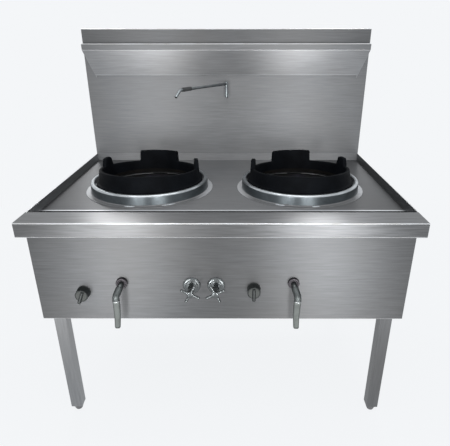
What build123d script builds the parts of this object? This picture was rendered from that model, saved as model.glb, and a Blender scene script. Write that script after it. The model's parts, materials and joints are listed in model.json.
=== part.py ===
from build123d import *
import math
import os

os.makedirs("parts", exist_ok=True)

# Two-burner wok range. Millimetres, +Z up, origin on the floor under the middle of the range.
# The cook stands on the -Y side. "Left" is -X.

# ---- bench top ----
bench_width = 1200.0
bench_depth = 900.0          # ledge front to splashback back
rim_height = 765.0           # floor to the top of the ledge
sheet = 1.5                  # folded stainless sheet
deck_sheet = 2.0
lip_height = 46.0
ledge_depth = 90.0
ledge_hem = 20.0             # down-turn at the ledge's rear edge
bend_radius = 2.5            # outside of every folded edge
hem_rounding = 1.4           # folded top edge of the side rims
rim_hem = 3.0                # folded double edge of the side rims
gutter_gap = 88.0            # open slot between ledge and deck
gutter_drop = 75.0           # rim to gutter floor
deck_drop = 30.0             # rim to deck surface

# ---- splashback ----
splash_rise = 520.0          # above the rim
splash_thickness = 50.0
shelf_end_gap = 3.0          # shelf ends inside the splashback's ends
shelf_depth = 34.0
shelf_top_rise = 464.0       # above the rim
shelf_lip = 25.0
shelf_slope = 113.0          # height of the sloped underside
shelf_hip = 40.0             # how far the sloped ends come in
shelf_slot = 4.0             # water gap between the slope and the wall
shelf_slot_height = 19.0

# ---- cabinet and frame ----
panel_setback = 27.0         # behind the lip, and the same at the rear
panel_inset = 20.0           # in from the rims' outer faces
cabinet_drop = 345.0         # rim to cabinet bottom
panel_flange = 15.0
seat_width = 10.0            # turned-in flange that sits on the frame
rail = 20.0
rail_wall = 1.5
leg = 40.0
leg_wall = 2.0
leg_rounding = 3.0
leg_plate = 5.0              # tapped plate in the leg's lower end
bearer_inset = 5.0           # front bearer behind the gutter
rear_bearer_inset = 160.0    # rear bearer in front of the splashback

# ---- feet ----
foot_height = 23.0
foot_top_radius = 18.0
foot_bottom_radius = 11.0
foot_rounding = 3.0
foot_stem_radius = 5.0
foot_stem_length = 40.0

# ---- burner stations ----
station_x = 280.0
station_depth = 435.0        # ledge front to burner centre
deck_hole_radius = 200.0
trim_sheet = 1.5
trim_base_radius = 233.0
trim_radius = 215.0
trim_rise = 30.0             # deck to the bead's centre
bead_radius = 8.0
seat_radius = 184.0          # inner edge of the trim ring's seat
seat_drop = 2.0              # bead centre to the seat

# ---- wok ring ----
ring_flange_gap = 3.0        # flange edge to the trim ring's bead
ring_flange = 10.0
ring_foot_radius = 186.0
ring_top_radius = 179.0
ring_bore_radius = 168.0
ring_wall = 11.0             # at the top
ring_front_rise = 60.0       # above the rim level, highest at the cook's side
ring_rear_rise = 30.0
lug_rise = 72.0
lug_thickness = 14.0
back_lug_width = 147.0
side_lug_width = 54.0
side_lug_lag = 12.5          # degrees behind the ring's middle
left_ring_turn = -4.0        # degrees, as the rings happen to lie
right_ring_turn = 6.0

# ---- burner chamber and burner ----
chamber_radius = 190.0
chamber_wall = 3.0
chamber_flange_radius = 222.0
chamber_depth = 236.0
chamber_mouth_radius = 92.0
burner_radius = 78.0
burner_height = 30.0
inner_nozzle_circle = 30.0
inner_nozzle_count = 6
outer_nozzle_circle = 61.0
outer_nozzle_count = 14
nozzle_radius = 6.0
nozzle_height = 25.0
mixing_tube_radius = 22.0
mixing_bore_radius = 17.0
mixing_bore_depth = 150.0
horn_radius = 32.0
horn_length = 20.0
horn_setback = 91.0          # front panel to the horn's mouth
burner_foot_reach = 112.0
burner_foot_width = 14.0
burner_foot_count = 3
burner_foot_turn = 30.0      # degrees from +X to the first foot
pilot_tube_radius = 4.0
pilot_offset = 90.0          # left of the burner centre
pilot_turn = 172.0           # front panel to the pilot tube's side run
pilot_bend = 12.0
pilot_cap_radius = 7.0
pilot_cap_height = 12.0
wall_gap = 0.3               # clearance of pipes in sheet holes

# ---- gas controls on the front panel ----
left_lever_offset = -30.0    # from the burner's centre
right_lever_offset = -58.0
knob_spacing = 123.0         # each pilot knob is this far left of its lever
lever_drop = 207.0
left_knob_drop = 240.0
right_knob_drop = 229.0
running_gap = 0.05           # shaft clearance
stem_hole_gap = 1.0          # valve stems in the front panel
bore_relief = 2.0            # bores are this much deeper than their pins
face_gap = 0.3
lever_boss_radius = 18.0
lever_boss_depth = 14.0
lever_stem_radius = 5.0
lever_stem_depth = 28.0
lever_stand_off = 52.0       # panel to the handle's centre
elbow_radius = 11.0
elbow_bend = 14.0
elbow_start = 10.0           # straight length out of the boss
elbow_end = 12.0             # straight length above the collar
elbow_drop = 35.0
elbow_lean = 10.0            # the handle hangs this far outwards
collar_radius = 11.5
collar_height = 5.0
handle_length = 96.0
handle_top_width = 22.0
handle_end_width = 17.5
handle_thickness = 10.0
handle_lean = 3.0
lever_rest_swing = 1.5       # degrees, both towards -X
gas_valve_radius = 17.0
gas_valve_depth = 64.0
gas_outlet_radius = 8.0
gas_outlet_length = 40.0
manifold_radius = 13.5
manifold_drop = 150.0
manifold_inset = 43.0        # panel to the manifold's centre
manifold_stub = 28.0
manifold_overhang = 28.0     # closed end beyond the last valve
manifold_return_x = 495.0
manifold_bend = 32.0
branch_radius = 11.0
inlet_reach = 25.0           # inlets stand out of the rear panel
gas_inlet_radius = 13.2       # three-quarter inch pipe thread
gas_inlet_thread = 20.0
gas_bore_radius = 9.0
inlet_bore_depth = 60.0
pilot_valve_radius = 13.0
pilot_valve_depth = 54.0
pilot_branch_radius = 9.0
spindle_radius = 4.0
spindle_flat = 2.5
spindle_inside = 24.0
spindle_outside = 26.0
knob_gap = 4.5               # skirt to panel
push_travel = 4.0            # the knob's push
knob_skirt_radius = 21.5
knob_skirt = 3.0
knob_body_radius = 20.5
knob_draft = 0.5
knob_depth = 29.0            # skirt back to the face
pointer_width = 13.0
pointer_reach = 31.0
pointer_rise = 4.0           # above the knob's face
left_pointer_angle = -22.0   # from straight down
right_pointer_angle = 0.0

# ---- water ----
left_tap_x = -94.5
tap_spacing = 76.0
tap_drop = 219.0
tap_reach = 65.0             # panel to the front of the tap's hub
tap_body_radius = 15.0
tap_body_depth = 56.0
bonnet_radius = 11.0
bonnet_reach = 39.0
escutcheon_radius = 28.0
escutcheon_depth = 8.0
escutcheon_edge = 2.5
escutcheon_shoulder = 20.0   # radius where the dome flattens
escutcheon_fall = 1.0        # the dome's height lost at that radius
escutcheon_lip = 2.0
tap_hub_radius = 10.0
tap_cap_radius = 7.0
tap_cap = 3.0
tap_spindle_radius = 5.0
tap_spindle_depth = 22.0
spoke_setback = 7.0          # hub's front edge to the spokes' centre line
spoke_radius = 4.5
spoke_length = 32.5
spoke_tip_radius = 5.0
left_tap_angle = -27.5
right_tap_angle = 27.0
tap_outlet_drop = 34.0
tap_outlet_inset = 43.0
supply_radius = 6.0
supply_bend = 12.0
water_header_gap = 16.0      # tap bodies to the header's centre
water_pipe_radius = 8.0
water_neck_radius = 7.0      # short necks from the header to the taps
water_inlet_x = -56.0
water_inlet_radius = 10.5
water_inlet_thread = 20.0
water_bore_radius = 5.5
riser_inset = 13.0           # rear panel to the risers' centre
spout_riser_drop = 300.0
spray_riser_drop = 286.0
spray_riser_x = 105.0
socket_depth = 10.0          # stubs behind the splashback's face

# ---- spout ----
spout_stand_off = 35.0       # wall to the post's centre
spout_low_rise = 261.0       # above the rim
spout_swivel_rise = 293.0
spout_top_rise = 316.0
spout_arm_rise = 307.0
post_radius = 6.5
wall_flange_radius = 10.0
wall_flange = 3.0
swivel_pin_radius = 3.5
swivel_pin_length = 18.0
arm_radius = 5.5
arm_reach = 299.0
tip_reach = 26.0
tip_drop = 24.0
tip_bend = 24.0
tip_bore_radius = 4.0
tip_bore_depth = 12.0
grip_start = 237.0
grip_length = 50.0
grip_radius = 7.5
spout_rest_angle = -34.0     # from straight out, towards -X
spray_bar_radius = 8.0
spray_bar_half = 540.0
spray_bar_inset = 16.0       # wall to the bar's centre
spray_bar_drop = 17.0        # shelf top to the bar's centre
spray_hole_radius = 1.5
spray_hole_count = 17
spray_hole_pitch = 62.0

# ---- drain ----
drain_x = 50.0
drain_flange_radius = 40.0
drain_flange = 1.5
drain_cup_radius = 31.0
drain_cup_depth = 30.0
drain_tail_radius = 25.0
drain_tail_length = 95.0
drain_wall = 3.0
strainer_radius = 26.0
strainer_depth = 24.0
strainer_wall = 1.2
strainer_rim_radius = 37.0
strainer_hole_radius = 2.5
strainer_hole_count = 8
strainer_hole_circle = 15.0
strainer_post_radius = 3.0
strainer_ball_radius = 5.0
strainer_post_height = 30.0

# ---- rear panel screws ----
screw_radius = 2.4
screw_length = 8.0
screw_head_radius = 4.5
screw_head = 2.5
inner_screw_x = 150.0
outer_screw_x = 400.0

# ---- derived positions ----
cut_over = 1.0               # cutting shapes run this far past a face
half_width = bench_width / 2
inner_half = half_width - rim_hem
cabinet_half = half_width - panel_inset
control_reach = tap_reach - panel_setback
front = control_reach / 2 - bench_depth / 2
wall_depth = bench_depth - splash_thickness


def back(distance):
    """Y of a place this far behind the ledge's front edge."""
    return front + distance


def below(drop):
    """Z of a place this far under the rim."""
    return rim_height - drop


panel_face = back(panel_setback)
panel_inner = panel_face + sheet
rear_face = back(bench_depth - panel_setback)
rear_inner = rear_face - sheet
wall_face = back(wall_depth)
deck_front = back(ledge_depth + gutter_gap)
deck_rear = wall_face - sheet
gutter_front = back(ledge_depth)
gutter_rear = deck_front + deck_sheet + sheet
gutter_floor = below(gutter_drop)
lip_bottom = below(lip_height)
cabinet_bottom = below(cabinet_drop)
deck_top = below(deck_drop)
deck_under = deck_top - deck_sheet
station_y = back(station_depth)
side_inner = cabinet_half - sheet
rail_inner = side_inner - rail
lower_rail_z = cabinet_bottom + sheet
upper_rail_z = lip_bottom - rail
leg_bottom = foot_height
bead_z = deck_top + trim_rise
bead_centre = trim_radius - bead_radius
seat_z = bead_z - seat_drop
station_xs = {"left": -station_x, "right": station_x}
lever_xs = {"left": left_lever_offset - station_x, "right": right_lever_offset + station_x}
knob_xs = {side: x - knob_spacing for side, x in lever_xs.items()}
knob_drops = {"left": left_knob_drop, "right": right_knob_drop}
ring_turns = {"left": left_ring_turn, "right": right_ring_turn}
tap_xs = {"left": left_tap_x, "right": left_tap_x + tap_spacing}
spout_x = 0.0
post_y = wall_face - spout_stand_off
shelf_top = rim_height + shelf_top_rise
shelf_knee = shelf_top - shelf_lip
spray_z = shelf_top - spray_bar_drop
riser_y = rear_face + riser_inset
gutter_middle = (gutter_front + gutter_rear) / 2
manifold_y = panel_face + manifold_inset


# ---- helpers ----
def slab(x0, x1, y0, y1, z0, z1):
    """A box between two corners."""
    centre = Pos((x0 + x1) / 2, (y0 + y1) / 2, (z0 + z1) / 2)
    return centre * Box(x1 - x0, y1 - y0, z1 - z0)


def rod(radius, z0, z1):
    """A round bar on the Z axis."""
    return Pos(0, 0, (z0 + z1) / 2) * Cylinder(radius, z1 - z0)


def rod_x(radius, x0, x1, y, z):
    return Pos((x0 + x1) / 2, y, z) * Rot(Y=90) * Cylinder(radius, x1 - x0)


def rod_y(radius, x, y0, y1, z):
    return Pos(x, (y0 + y1) / 2, z) * Rot(X=90) * Cylinder(radius, y1 - y0)


def pipe(points, radius, bend):
    """A round bar along straight runs joined by tangent arcs."""
    path = FilletPolyline(*points, radius=bend)
    section = Plane(origin=path @ 0, z_dir=path % 0) * Circle(radius)
    return sweep(section, path=path)


def lathe(points):
    """A turned shape from its (radius, height) outline."""
    outline = Polyline(*[(r, 0, z) for r, z in points], close=True)
    return revolve(make_face(outline), Axis.Z)


def on_panel(shape, x, drop):
    """Places a shape drawn with its +Z pointing out of the front panel."""
    return Pos(x, panel_face, below(drop)) * Rot(X=90) * shape


def mirrored(shape, side):
    """Shapes are drawn for the right; the left one is its mirror image."""
    return shape if side == "right" else mirror(shape, about=Plane.YZ)


def box_tube(outer, axis):
    """Hollows a box-shaped bar lengthwise along the named axis."""
    box = outer.bounding_box()
    low, high = box.min, box.max
    inset = [rail_wall] * 3
    inset["XYZ".index(axis)] = -cut_over
    hollow = slab(low.X + inset[0], high.X - inset[0], low.Y + inset[1], high.Y - inset[1],
                  low.Z + inset[2], high.Z - inset[2])
    return outer - hollow


def edges_at(shape, along, **places):
    """Edges parallel to an axis whose middles lie at the given X, Y or Z."""
    edges = shape.edges().filter_by(along)
    for letter, value in places.items():
        edges = edges.filter_by_position(getattr(Axis, letter), value - face_gap, value + face_gap)
    return edges


# ---- bench top ----
def front_ledge():
    top = slab(-half_width, half_width, back(0), gutter_front, below(sheet), rim_height)
    lip = slab(-half_width, half_width, back(0), back(sheet), lip_bottom, rim_height)
    seat_back = panel_inner + seat_width
    seat = slab(-half_width + sheet, half_width - sheet, back(sheet), seat_back,
                lip_bottom, lip_bottom + sheet)
    hem = slab(-inner_half, inner_half, gutter_front - sheet, gutter_front,
               below(ledge_hem), rim_height)
    ledge = top + lip + seat + hem
    return fillet(edges_at(ledge, Axis.X, Y=back(0)), bend_radius)


def side_rim(side):
    skirt = slab(half_width - sheet, half_width, back(sheet), wall_face, lip_bottom, below(sheet))
    hem = slab(inner_half, half_width, gutter_front, wall_face, deck_under, rim_height)
    seat = slab(side_inner, half_width - sheet, panel_inner + seat_width, wall_face,
                lip_bottom, lip_bottom + sheet)
    rail_seat = slab(side_inner - seat_width, side_inner, gutter_rear, wall_face,
                     lip_bottom, lip_bottom + sheet)
    hem = fillet(edges_at(hem, Axis.Y, Z=rim_height), hem_rounding)
    return mirrored(skirt + hem + seat + rail_seat, side)


def deck_plate():
    plate = slab(-inner_half, inner_half, deck_front, deck_rear, deck_under, deck_top)
    flange = slab(-inner_half, inner_half, deck_front, deck_front + deck_sheet,
                  lip_bottom + sheet, deck_top)
    plate = plate + flange
    plate = fillet(edges_at(plate, Axis.X, Y=deck_front, Z=deck_top), bend_radius)
    for x in station_xs.values():
        plate -= Pos(x, station_y, 0) * rod(deck_hole_radius, deck_under - cut_over, deck_top + cut_over)
    return plate


def rear_upstand():
    return slab(-inner_half, inner_half, deck_rear, wall_face, deck_under, rim_height)


def gutter_channel():
    underside = gutter_floor - sheet
    half = side_inner
    channel = slab(-half, half, gutter_front, gutter_rear, underside, gutter_floor)
    channel += slab(-half, half, gutter_front, gutter_front + sheet, underside, below(sheet))
    channel += slab(-half, half, gutter_rear - sheet, gutter_rear, underside, deck_under)
    for end in (-half, half - sheet):
        channel += slab(end, end + sheet, gutter_front, deck_front, underside, deck_under)
        channel += slab(end, end + sheet, deck_front, gutter_rear, underside, lip_bottom + sheet)
    hole = Pos(drain_x, gutter_middle, 0) * rod(drain_cup_radius + wall_gap,
                                                 underside - cut_over, gutter_floor + cut_over)
    return channel - hole


# ---- cabinet ----
def front_panel():
    panel = slab(-cabinet_half, cabinet_half, panel_face, panel_inner, cabinet_bottom, lip_bottom)
    panel += slab(-side_inner, side_inner, panel_inner, panel_inner + panel_flange,
                  cabinet_bottom, cabinet_bottom + sheet)
    panel = fillet(edges_at(panel, Axis.X, Y=panel_face, Z=cabinet_bottom), bend_radius)
    for side in ("left", "right"):
        holes = [(lever_xs[side], lever_drop, lever_stem_radius + stem_hole_gap),
                 (knob_xs[side], knob_drops[side], spindle_radius + stem_hole_gap),
                 (tap_xs[side], tap_drop, bonnet_radius + wall_gap)]
        for x, drop, radius in holes:
            panel -= on_panel(rod(radius, -sheet - cut_over, cut_over), x, drop)
    return panel


def side_panel(side):
    panel = slab(side_inner, cabinet_half, panel_inner, rear_inner, cabinet_bottom, lip_bottom)
    panel += slab(side_inner - panel_flange, side_inner, panel_inner + panel_flange,
                  rear_inner - panel_flange, cabinet_bottom, cabinet_bottom + sheet)
    panel = fillet(edges_at(panel, Axis.Y, X=cabinet_half, Z=cabinet_bottom), bend_radius)
    return mirrored(panel, side)


def rear_panel():
    panel = slab(-cabinet_half, cabinet_half, rear_inner, rear_face, cabinet_bottom, lip_bottom)
    panel += slab(-side_inner, side_inner, rear_inner - panel_flange, rear_inner,
                  cabinet_bottom, cabinet_bottom + sheet)
    panel = fillet(edges_at(panel, Axis.X, Y=rear_face, Z=cabinet_bottom), bend_radius)
    holes = [(manifold_return_x, manifold_drop, manifold_radius),
             (water_inlet_x, tap_drop, water_inlet_radius),
             (spout_x, spout_riser_drop, supply_radius),
             (spray_riser_x, spray_riser_drop, supply_radius)]
    for x, drop, radius in holes:
        panel -= rod_y(radius + wall_gap, x, rear_inner - cut_over, rear_face + cut_over, below(drop))
    for x, z in screw_places():
        panel -= rod_y(screw_radius + running_gap, x, rear_inner - cut_over, rear_face + cut_over, z)
    return panel


def screw_places():
    heights = (lower_rail_z + rail / 2, upper_rail_z + rail / 2)
    columns = (-outer_screw_x, -inner_screw_x, inner_screw_x, outer_screw_x)
    return [(x, z) for x in columns for z in heights]


def panel_screws():
    screws = []
    for x, z in screw_places():
        shank = rod_y(screw_radius, x, rear_inner - screw_length, rear_face, z)
        head = rod_y(screw_head_radius, x, rear_face, rear_face + screw_head, z)
        screws.append(shank + head)
    return Compound(screws)


def frame_rails():
    rails = []
    for z in (lower_rail_z, upper_rail_z):
        front_rail = slab(-side_inner, side_inner, panel_inner, panel_inner + rail, z, z + rail)
        rear_rail = slab(-side_inner, side_inner, rear_inner - rail, rear_inner, z, z + rail)
        rear_rail = box_tube(rear_rail, "X")
        for x, screw_z in screw_places():
            rear_rail -= rod_y(screw_radius + running_gap, x, rear_inner - rail_wall - cut_over,
                               rear_inner + cut_over, screw_z)
        rails += [box_tube(front_rail, "X"), rear_rail]
    starts = {lower_rail_z: panel_inner + rail, upper_rail_z: gutter_rear}
    for z, start in starts.items():
        side_rail = slab(rail_inner, side_inner, start, rear_inner - rail, z, z + rail)
        side_rail = box_tube(side_rail, "Y")
        rails += [side_rail, mirror(side_rail, about=Plane.YZ)]
    for y in (gutter_rear + bearer_inset, wall_face - rear_bearer_inset):
        bearer = slab(-rail_inner, rail_inner, y, y + rail, deck_under - rail, deck_under)
        rails.append(box_tube(bearer, "X"))
    return Compound(rails)


def leg_corner(side, row):
    """Lower left corner, in plan, of the leg's square section."""
    x0 = rail_inner - leg if side == "right" else -rail_inner
    y0 = panel_inner + rail if row == "front" else rear_inner - rail - leg
    return x0, y0


def leg_post(side, row):
    x0, y0 = leg_corner(side, row)
    post = slab(x0, x0 + leg, y0, y0 + leg, leg_bottom, lip_bottom)
    post = fillet(post.edges().filter_by(Axis.Z), leg_rounding)
    post -= slab(x0 + leg_wall, x0 + leg - leg_wall, y0 + leg_wall, y0 + leg - leg_wall,
                 leg_bottom + leg_plate, lip_bottom + cut_over)
    hole = rod(foot_stem_radius + running_gap, leg_bottom - cut_over,
               leg_bottom + leg_plate + cut_over)
    return post - Pos(x0 + leg / 2, y0 + leg / 2, 0) * hole


def levelling_foot(side, row):
    x0, y0 = leg_corner(side, row)
    cone = Pos(0, 0, foot_height / 2) * Cone(foot_bottom_radius, foot_top_radius, foot_height)
    rounded = cone.edges().sort_by(Axis.Z)[0]
    cone = fillet(rounded, foot_rounding)
    stem = rod(foot_stem_radius, foot_height, foot_height + foot_stem_length)
    return Pos(x0 + leg / 2, y0 + leg / 2, 0) * (cone + stem)


# ---- splashback ----
def splashback_face():
    low = lip_bottom
    high = rim_height + splash_rise
    rear = back(bench_depth)
    face = slab(-half_width, half_width, wall_face, wall_face + sheet, low, high)
    face += slab(-half_width, half_width, wall_face, rear, high - sheet, high)
    for end in (-half_width, half_width - sheet):
        face += slab(end, end + sheet, wall_face, rear, low, high)
    face = fillet(edges_at(face, Axis.X, Y=wall_face, Z=high), bend_radius)
    spout_z = rim_height + spout_low_rise
    behind = wall_face + sheet + cut_over
    face -= rod_y(post_radius + wall_gap, spout_x, wall_face - cut_over, behind, spout_z)
    face -= rod_y(supply_radius + wall_gap, spray_riser_x, wall_face - cut_over, behind, spray_z)
    return face


def splashback_rear_skin():
    inner = half_width - sheet
    rear = back(bench_depth)
    high = rim_height + splash_rise - sheet
    skin = slab(-inner, inner, rear - sheet, rear, lip_bottom, high)
    skin += slab(-inner, inner, wall_face + sheet, rear - sheet, lip_bottom, lip_bottom + sheet)
    for x in (spout_x, spray_riser_x):
        skin -= Pos(x, riser_y, 0) * rod(supply_radius + wall_gap, lip_bottom - cut_over,
                                         lip_bottom + sheet + cut_over)
    return skin


def hip_wedge(wall, rear):
    """The shelf's outer shape, or the hollow inside it for a given wall."""
    top = shelf_top - wall
    lip_y = wall_face - shelf_depth
    slope_y = lip_y + wall * math.hypot(shelf_depth, shelf_slope) / shelf_slope
    toe = shelf_knee - (rear - slope_y) * shelf_slope / shelf_depth
    section = Polyline((rear, top), (slope_y, top), (slope_y, shelf_knee), (rear, toe),
                       close=True)
    half = half_width - shelf_end_gap
    prism = Pos(-half, 0, 0) * extrude(Plane.YZ * make_face(section), 2 * half)
    end = half - wall * math.hypot(shelf_hip, shelf_slope) / shelf_slope
    low_end = end - shelf_hip * (shelf_knee - toe) / shelf_slope
    outline = Polyline((-end, top), (end, top), (end, shelf_knee), (low_end, toe),
                       (-low_end, toe), (-end, shelf_knee), close=True)
    hips = Pos(0, rear, 0) * extrude(Plane.XZ * make_face(outline), 2 * shelf_depth)
    return prism & hips


def shelf_cover():
    toe = shelf_knee - shelf_slope
    slot_half = half_width - shelf_end_gap - shelf_hip
    slot = slab(-slot_half, slot_half, wall_face - shelf_slot, wall_face + cut_over,
                toe - cut_over, toe + shelf_slot_height)
    cover = hip_wedge(0.0, wall_face) - hip_wedge(sheet, wall_face + cut_over) - slot
    return fillet(edges_at(cover, Axis.X, Y=wall_face - shelf_depth), bend_radius)


def spray_bar():
    y = wall_face - spray_bar_inset
    z = spray_z
    bar = rod_x(spray_bar_radius, -spray_bar_half, spray_bar_half, y, z)
    bore = rod_x(spray_bar_radius - sheet, sheet - spray_bar_half, spray_bar_half - sheet, y, z)
    bar -= bore
    first = -spray_hole_pitch * (spray_hole_count - 1) / 2
    for index in range(spray_hole_count):
        hole = rod(spray_hole_radius, z - spray_bar_radius - cut_over, z)
        bar -= Pos(first + index * spray_hole_pitch, y, 0) * hole
    stub = rod_y(supply_radius, spray_riser_x, y + spray_bar_radius - sheet / 2,
                 wall_face + sheet + socket_depth, z)
    return bar + stub


# ---- burner stations ----
def trim_ring(side):
    out = bead_centre + bead_radius
    into = bead_centre - bead_radius
    wall = trim_sheet
    foot = Polyline((out - wall, 0, bead_z), (out - wall, 0, deck_top),
                    (trim_base_radius, 0, deck_top), (trim_base_radius, 0, deck_top + wall),
                    (out, 0, deck_top + wall), (out, 0, bead_z))
    crown = ThreePointArc((out, 0, bead_z), (bead_centre, 0, bead_z + bead_radius),
                          (into, 0, bead_z))
    seat = Polyline((into, 0, bead_z), (into, 0, seat_z), (seat_radius, 0, seat_z),
                    (seat_radius, 0, seat_z - wall), (into + wall, 0, seat_z - wall),
                    (into + wall, 0, bead_z))
    inner_crown = ThreePointArc((into + wall, 0, bead_z),
                                (bead_centre, 0, bead_z + bead_radius - wall),
                                (out - wall, 0, bead_z))
    ring = revolve(make_face(foot + crown + seat + inner_crown), Axis.Z)
    return Pos(station_xs[side], station_y, 0) * ring


def wok_lug(width, direction):
    """A lug on the ring, centred on a direction in degrees from +X."""
    outer = ring_bore_radius + lug_thickness
    arc = math.degrees(width / (ring_bore_radius + lug_thickness / 2))
    outline = Polyline((ring_bore_radius, 0, seat_z + ring_flange),
                       (outer, 0, seat_z + ring_flange),
                       (outer, 0, rim_height + lug_rise),
                       (ring_bore_radius, 0, rim_height + lug_rise), close=True)
    lug = revolve(make_face(outline), Axis.Z, revolution_arc=arc)
    return Rot(Z=direction - arc / 2) * lug


def wok_ring(side):
    flange_radius = bead_centre - bead_radius - ring_flange_gap
    top = rim_height + lug_rise
    ring = lathe([(ring_bore_radius, seat_z), (flange_radius, seat_z),
                  (flange_radius, seat_z + ring_flange), (ring_foot_radius, seat_z + ring_flange),
                  (ring_top_radius, top), (ring_top_radius - ring_wall, top)])
    tilt = math.degrees(math.atan2(ring_front_rise - ring_rear_rise, 2 * ring_top_radius))
    middle = rim_height + (ring_front_rise + ring_rear_rise) / 2
    across = 2 * (flange_radius + bead_radius)
    cutter = Box(across, across, lug_rise, align=(Align.CENTER, Align.CENTER, Align.MIN))
    ring -= Pos(0, 0, middle) * Rot(X=-tilt) * cutter
    ring += wok_lug(back_lug_width, 90)
    ring += wok_lug(side_lug_width, 180 - side_lug_lag)
    ring += wok_lug(side_lug_width, side_lug_lag)
    return Pos(station_xs[side], station_y, 0) * Rot(Z=ring_turns[side]) * ring


def burner_chamber(side):
    top = deck_under
    floor = top - chamber_depth
    wall = chamber_radius - chamber_wall
    chamber = lathe([(chamber_flange_radius, top), (chamber_flange_radius, top - deck_sheet),
                     (chamber_radius, top - deck_sheet), (chamber_radius, floor - deck_sheet),
                     (chamber_mouth_radius, floor - deck_sheet), (chamber_mouth_radius, floor),
                     (wall, floor), (wall, top)])
    chamber = Pos(station_xs[side], station_y, 0) * chamber
    chamber -= rod_y(mixing_tube_radius + wall_gap, lever_xs[side],
                     station_y - chamber_radius - cut_over, station_y, below(lever_drop))
    pilot_x = station_xs[side] - pilot_offset
    chamber -= rod_y(pilot_tube_radius + wall_gap, pilot_x,
                     station_y - chamber_radius - cut_over, station_y, below(knob_drops[side]))
    return chamber


def burner(side):
    axis_z = below(lever_drop)
    top = axis_z + burner_height / 2
    floor = deck_under - chamber_depth
    head = rod(burner_radius, top - burner_height, top)
    rings = ((0.0, 1), (inner_nozzle_circle, inner_nozzle_count),
             (outer_nozzle_circle, outer_nozzle_count))
    for radius, count in rings:
        for index in range(count):
            turn = Rot(Z=360 * index / count) * Pos(radius, 0, 0)
            head += turn * rod(nozzle_radius, top - burner_height / 2, top + nozzle_height)
    for index in range(burner_foot_count):
        foot = slab(burner_radius - burner_foot_width, burner_foot_reach, -burner_foot_width / 2,
                    burner_foot_width / 2, floor, top - burner_height / 2)
        head += Rot(Z=burner_foot_turn + 360 * index / burner_foot_count) * foot
    head = Pos(station_xs[side], station_y, 0) * head
    mouth = panel_face + horn_setback
    x = lever_xs[side]
    tube = rod_y(mixing_tube_radius, x, mouth, station_y, axis_z)
    horn = Cone(mixing_tube_radius, horn_radius, horn_length)
    tube += Pos(x, mouth + horn_length / 2, axis_z) * Rot(X=90) * horn
    bore = rod_y(mixing_bore_radius, x, mouth - cut_over, mouth + mixing_bore_depth, axis_z)
    return head + tube - bore


def pilot_burners():
    pilots = []
    for side, x in knob_xs.items():
        z = below(knob_drops[side])
        pilot_x = station_xs[side] - pilot_offset
        side_run = panel_face + pilot_turn
        end_y = station_y - burner_foot_width
        top = below(lever_drop) + burner_height
        points = [(x, panel_face + sheet + pilot_valve_depth, z), (x, side_run, z),
                  (pilot_x, side_run, z), (pilot_x, end_y, z), (pilot_x, end_y, top)]
        cap = Pos(pilot_x, end_y, 0) * rod(pilot_cap_radius, top, top + pilot_cap_height)
        pilots.append(pipe(points, pilot_tube_radius, pilot_bend) + cap)
    return Compound(pilots)


# ---- gas controls, drawn with +Z out of the front panel and +Y up ----
def upright_branch(radius, drop):
    """A branch from a valve's axis up to the manifold's stubs."""
    length = drop - manifold_drop - manifold_stub
    branch = Cylinder(radius, length, align=(Align.CENTER, Align.CENTER, Align.MIN))
    return Pos(0, 0, -manifold_inset) * Rot(X=-90) * branch


def gas_valve(side):
    body = rod(gas_valve_radius, -sheet - gas_valve_depth, -sheet)
    body += upright_branch(branch_radius, lever_drop)
    outlet_end = -sheet - gas_valve_depth - gas_outlet_length
    body += rod(gas_outlet_radius, outlet_end, -sheet - gas_valve_depth)
    body -= rod(lever_stem_radius + running_gap, -sheet - lever_stem_depth, 0)
    return on_panel(body, lever_xs[side], lever_drop)


def lever_swing(shape):
    """Turns a lever piece to its rest angle about the valve's axis."""
    return Rot(Z=-lever_rest_swing) * shape


def lever_hub(side):
    boss = rod(lever_boss_radius, face_gap, face_gap + lever_boss_depth)
    stem = rod(lever_stem_radius, -lever_stem_depth, face_gap)
    return on_panel(boss + stem, lever_xs[side], lever_drop)


def lever_handle(side):
    start = face_gap + lever_boss_depth
    elbow = pipe([(0, 0, start), (0, 0, start + elbow_start),
                  (elbow_lean, elbow_end - elbow_drop, lever_stand_off),
                  (elbow_lean, -elbow_drop, lever_stand_off)], elbow_radius, elbow_bend)
    top = -elbow_drop - collar_height
    low = top - handle_length
    collar = Pos(elbow_lean, top + collar_height / 2, lever_stand_off) * Rot(X=90) * Cylinder(
        collar_radius, collar_height)
    end_x = elbow_lean + handle_lean
    outline = Polyline((elbow_lean - handle_top_width / 2, top),
                       (elbow_lean + handle_top_width / 2, top),
                       (end_x + handle_end_width / 2, low),
                       (end_x - handle_end_width / 2, low), close=True)
    grip = extrude(make_face(outline), handle_thickness)
    grip = Pos(0, 0, lever_stand_off - handle_thickness / 2) * grip
    lever = lever_swing(mirrored(elbow + collar + grip, side))
    return on_panel(lever, lever_xs[side], lever_drop)


def pilot_valve(side):
    body = rod(pilot_valve_radius, -sheet - pilot_valve_depth, -sheet)
    body += upright_branch(pilot_branch_radius, knob_drops[side])
    body -= rod(spindle_radius + running_gap, -sheet - spindle_inside, 0)
    return on_panel(body, knob_xs[side], knob_drops[side])


def d_shaft(radius, flat, z0, z1):
    """A shaft with one flat along it."""
    shaft = rod(radius, z0, z1)
    return shaft - slab(-radius - cut_over, radius + cut_over, flat, radius + cut_over,
                        z0 - cut_over, z1 + cut_over)


def pilot_spindle(side):
    flat_start = knob_gap - push_travel - face_gap
    round_end = rod(spindle_radius, -spindle_inside, flat_start)
    flat_end = d_shaft(spindle_radius, spindle_flat, flat_start, spindle_outside)
    return on_panel(round_end + flat_end, knob_xs[side], knob_drops[side])


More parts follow.
